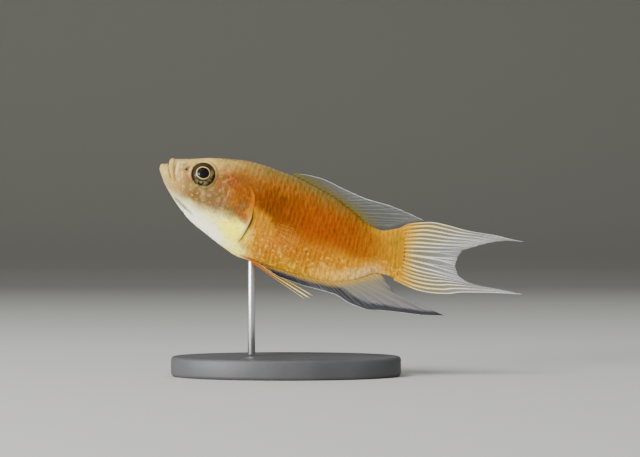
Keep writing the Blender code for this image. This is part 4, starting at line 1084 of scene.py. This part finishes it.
bpy.ops.object.select_all(action="DESELECT")
bpy.ops.mesh.primitive_cylinder_add(vertices=160, radius=0.5, depth=1.0, end_fill_type="NGON")
foot = bpy.context.object
foot.name = foot.data.name = "foot"
bpy.ops.transform.resize(value=tuple(FOOT_SIZE * MM))
bpy.ops.object.transform_apply(location=False, rotation=False, scale=True)
ease_edges(foot, 0.7, 4)
bpy.ops.transform.translate(value=(FOOT_AT_X * MM, 0, FOOT_SIZE[2] / 2 * MM))
bpy.ops.object.transform_apply(location=True, rotation=False, scale=False)
bpy.ops.object.shade_smooth_by_angle(angle=math.radians(35))
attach(foot, "root")
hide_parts("stand_base")

# cast resin: a faint pebbled skin from the mould, 0.7 mm a pebble, dull and slightly uneven in tone
resin, tree, shader = new_finish("cast_resin")
where = add(tree, "TexCoord").outputs["Object"]
pebble = add(tree, "TexNoise", (where, 1400.0, 3.0))
cloud = add(tree, "TexNoise", (where, 90.0, 2.0))
tone = add(tree, "ValToRGB", (cloud,), ((0.3, "#3a3a3c"), (0.7, "#48484a")))
bumps = add(tree, "Bump", {"Height": pebble, "Strength": 0.35, "Distance": 0.08 * MM})
plug(tree, shader, {"Base Color": tone, "Normal": bumps, "Roughness": 0.55})
dress(foot, resin)

low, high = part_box("stand_rod")
bpy.ops.object.select_all(action="DESELECT")
bpy.ops.mesh.primitive_cylinder_add(vertices=48, radius=(high.x - low.x) / 2, depth=high.z - low.z,
                                    location=(low + high) / 2)
rod = bpy.context.object
rod.name = rod.data.name = "rod"
bpy.ops.object.transform_apply(location=True, rotation=False, scale=False)
ease_edges(rod, 0.1, 2)
bpy.ops.object.shade_smooth_by_angle(angle=math.radians(35))
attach(rod, "root")
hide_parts("stand_rod")

# drawn steel: fine lines 8 mm long along the rod from the die, 0.1 mm apart so that they show
steel, tree, shader = new_finish("drawn_steel")
where = add(tree, "TexCoord").outputs["Object"]
stretch = add(tree, "Mapping", {"Vector": where, "Scale": (9000.0, 9000.0, 120.0)})
lines = add(tree, "TexNoise", (stretch, 1.0, 2.0))
shade = add(tree, "MapRange", {"Value": lines, "To Min": 0.22, "To Max": 0.42})
tone = add(tree, "ValToRGB", (lines,), ((0.3, "#b4b4b4"), (0.7, "#cccccc")))
plug(tree, shader, {"Base Color": tone, "Roughness": shade, "Metallic": 1.0})
dress(rod, steel)

# Studio.
# A pale floor that sweeps up into a wall, painted darker grey towards the wall as shade, soft lights high and low
# before the fish's left side, a small low one at the throat and one behind for the clear fins. The camera looks
# level at the flank.

WIDE, NEAR, DEEP, TALL, BEND = 2.4, 2.0, 0.55, 1.4, 0.25
bpy.ops.object.select_all(action="DESELECT")
bpy.ops.mesh.primitive_grid_add(x_subdivisions=4, y_subdivisions=60, size=1.0)
sweep = bpy.context.object
sweep.name = sweep.data.name = "studio_sweep"
round_bend = BEND * math.pi / 2
for corner in sweep.data.vertices:
    run = (corner.co.y + 0.5) * (NEAR + DEEP + round_bend + TALL) - NEAR
    turn = min(max((run - DEEP) / BEND, 0.0), math.pi / 2)
    up = BEND * (1 - math.cos(turn)) + max(run - DEEP - round_bend, 0.0)
    corner.co = Vector((corner.co.x * WIDE, min(run, DEEP) + BEND * math.sin(turn), up))
bpy.ops.object.shade_smooth()
# matt paper, painted darker towards the wall as shade
paper, tree, shader = new_finish("backdrop_paper")
where = add(tree, "TexCoord").outputs["Object"]
shade_to_wall = add(tree, "MapRange", (add(tree, "SeparateXYZ", (where,)).outputs["Y"], 0.1, 0.62))
tone = add(tree, "ValToRGB", (shade_to_wall,), ((0.0, "#b4b3ae"), (1.0, "#5c5b54")))
plug(tree, shader, {"Base Color": tone, "Roughness": 0.9})
dress(sweep, paper)

for name, place, aim, size, power in (
        ("high_left", (-0.36, -0.34, 0.62), (0.0, 0.0, 0.03), 0.30, 4.5),
        ("low_left", (-0.50, -0.50, 0.12), (0.0, 0.0, 0.03), 0.32, 8.8),
        ("low_front", (-0.42, -0.20, 0.05), (-0.02, 0.0, 0.03), 0.14, 1.2),
        ("behind", (0.15, 0.35, 0.5), (0.0, 0.0, 0.03), 0.3, 0.6)):
    lamp = bpy.data.lights.new(name, "AREA")
    lamp.size = size
    lamp.energy = power
    lamp_object = bpy.data.objects.new(name, lamp)
    bpy.context.scene.collection.objects.link(lamp_object)
    lamp_object.location = place
    lamp_object.rotation_euler = (Vector(aim) - Vector(place)).to_track_quat("-Z", "Y").to_euler()
world = bpy.data.worlds.new("studio")
bpy.context.scene.world = world
world.use_nodes = True
plug(world.node_tree, world.node_tree.nodes["Background"], {"Color": paint("#dfe2e4"), "Strength": 0.8})

# The camera stands half a metre off, a little above the fish's middle, and looks straight at its flank.
CAMERA_AWAY, EYE_LINE, FRAME_MIDDLE = 0.5, 0.0346, (-0.0042, 0.0295)
FRAME_WIDTH = 0.128
camera = bpy.data.cameras.new("camera")
camera.lens = camera.sensor_width * CAMERA_AWAY / FRAME_WIDTH
camera.shift_y = (FRAME_MIDDLE[1] - EYE_LINE) / FRAME_WIDTH
camera.clip_start, camera.clip_end = 0.01, 20.0
camera_object = bpy.data.objects.new("camera", camera)
bpy.context.scene.collection.objects.link(camera_object)
camera_object.location = (FRAME_MIDDLE[0], -CAMERA_AWAY, EYE_LINE)
camera_object.rotation_euler = (math.pi / 2, 0.0, 0.0)
bpy.context.scene.camera = camera_object
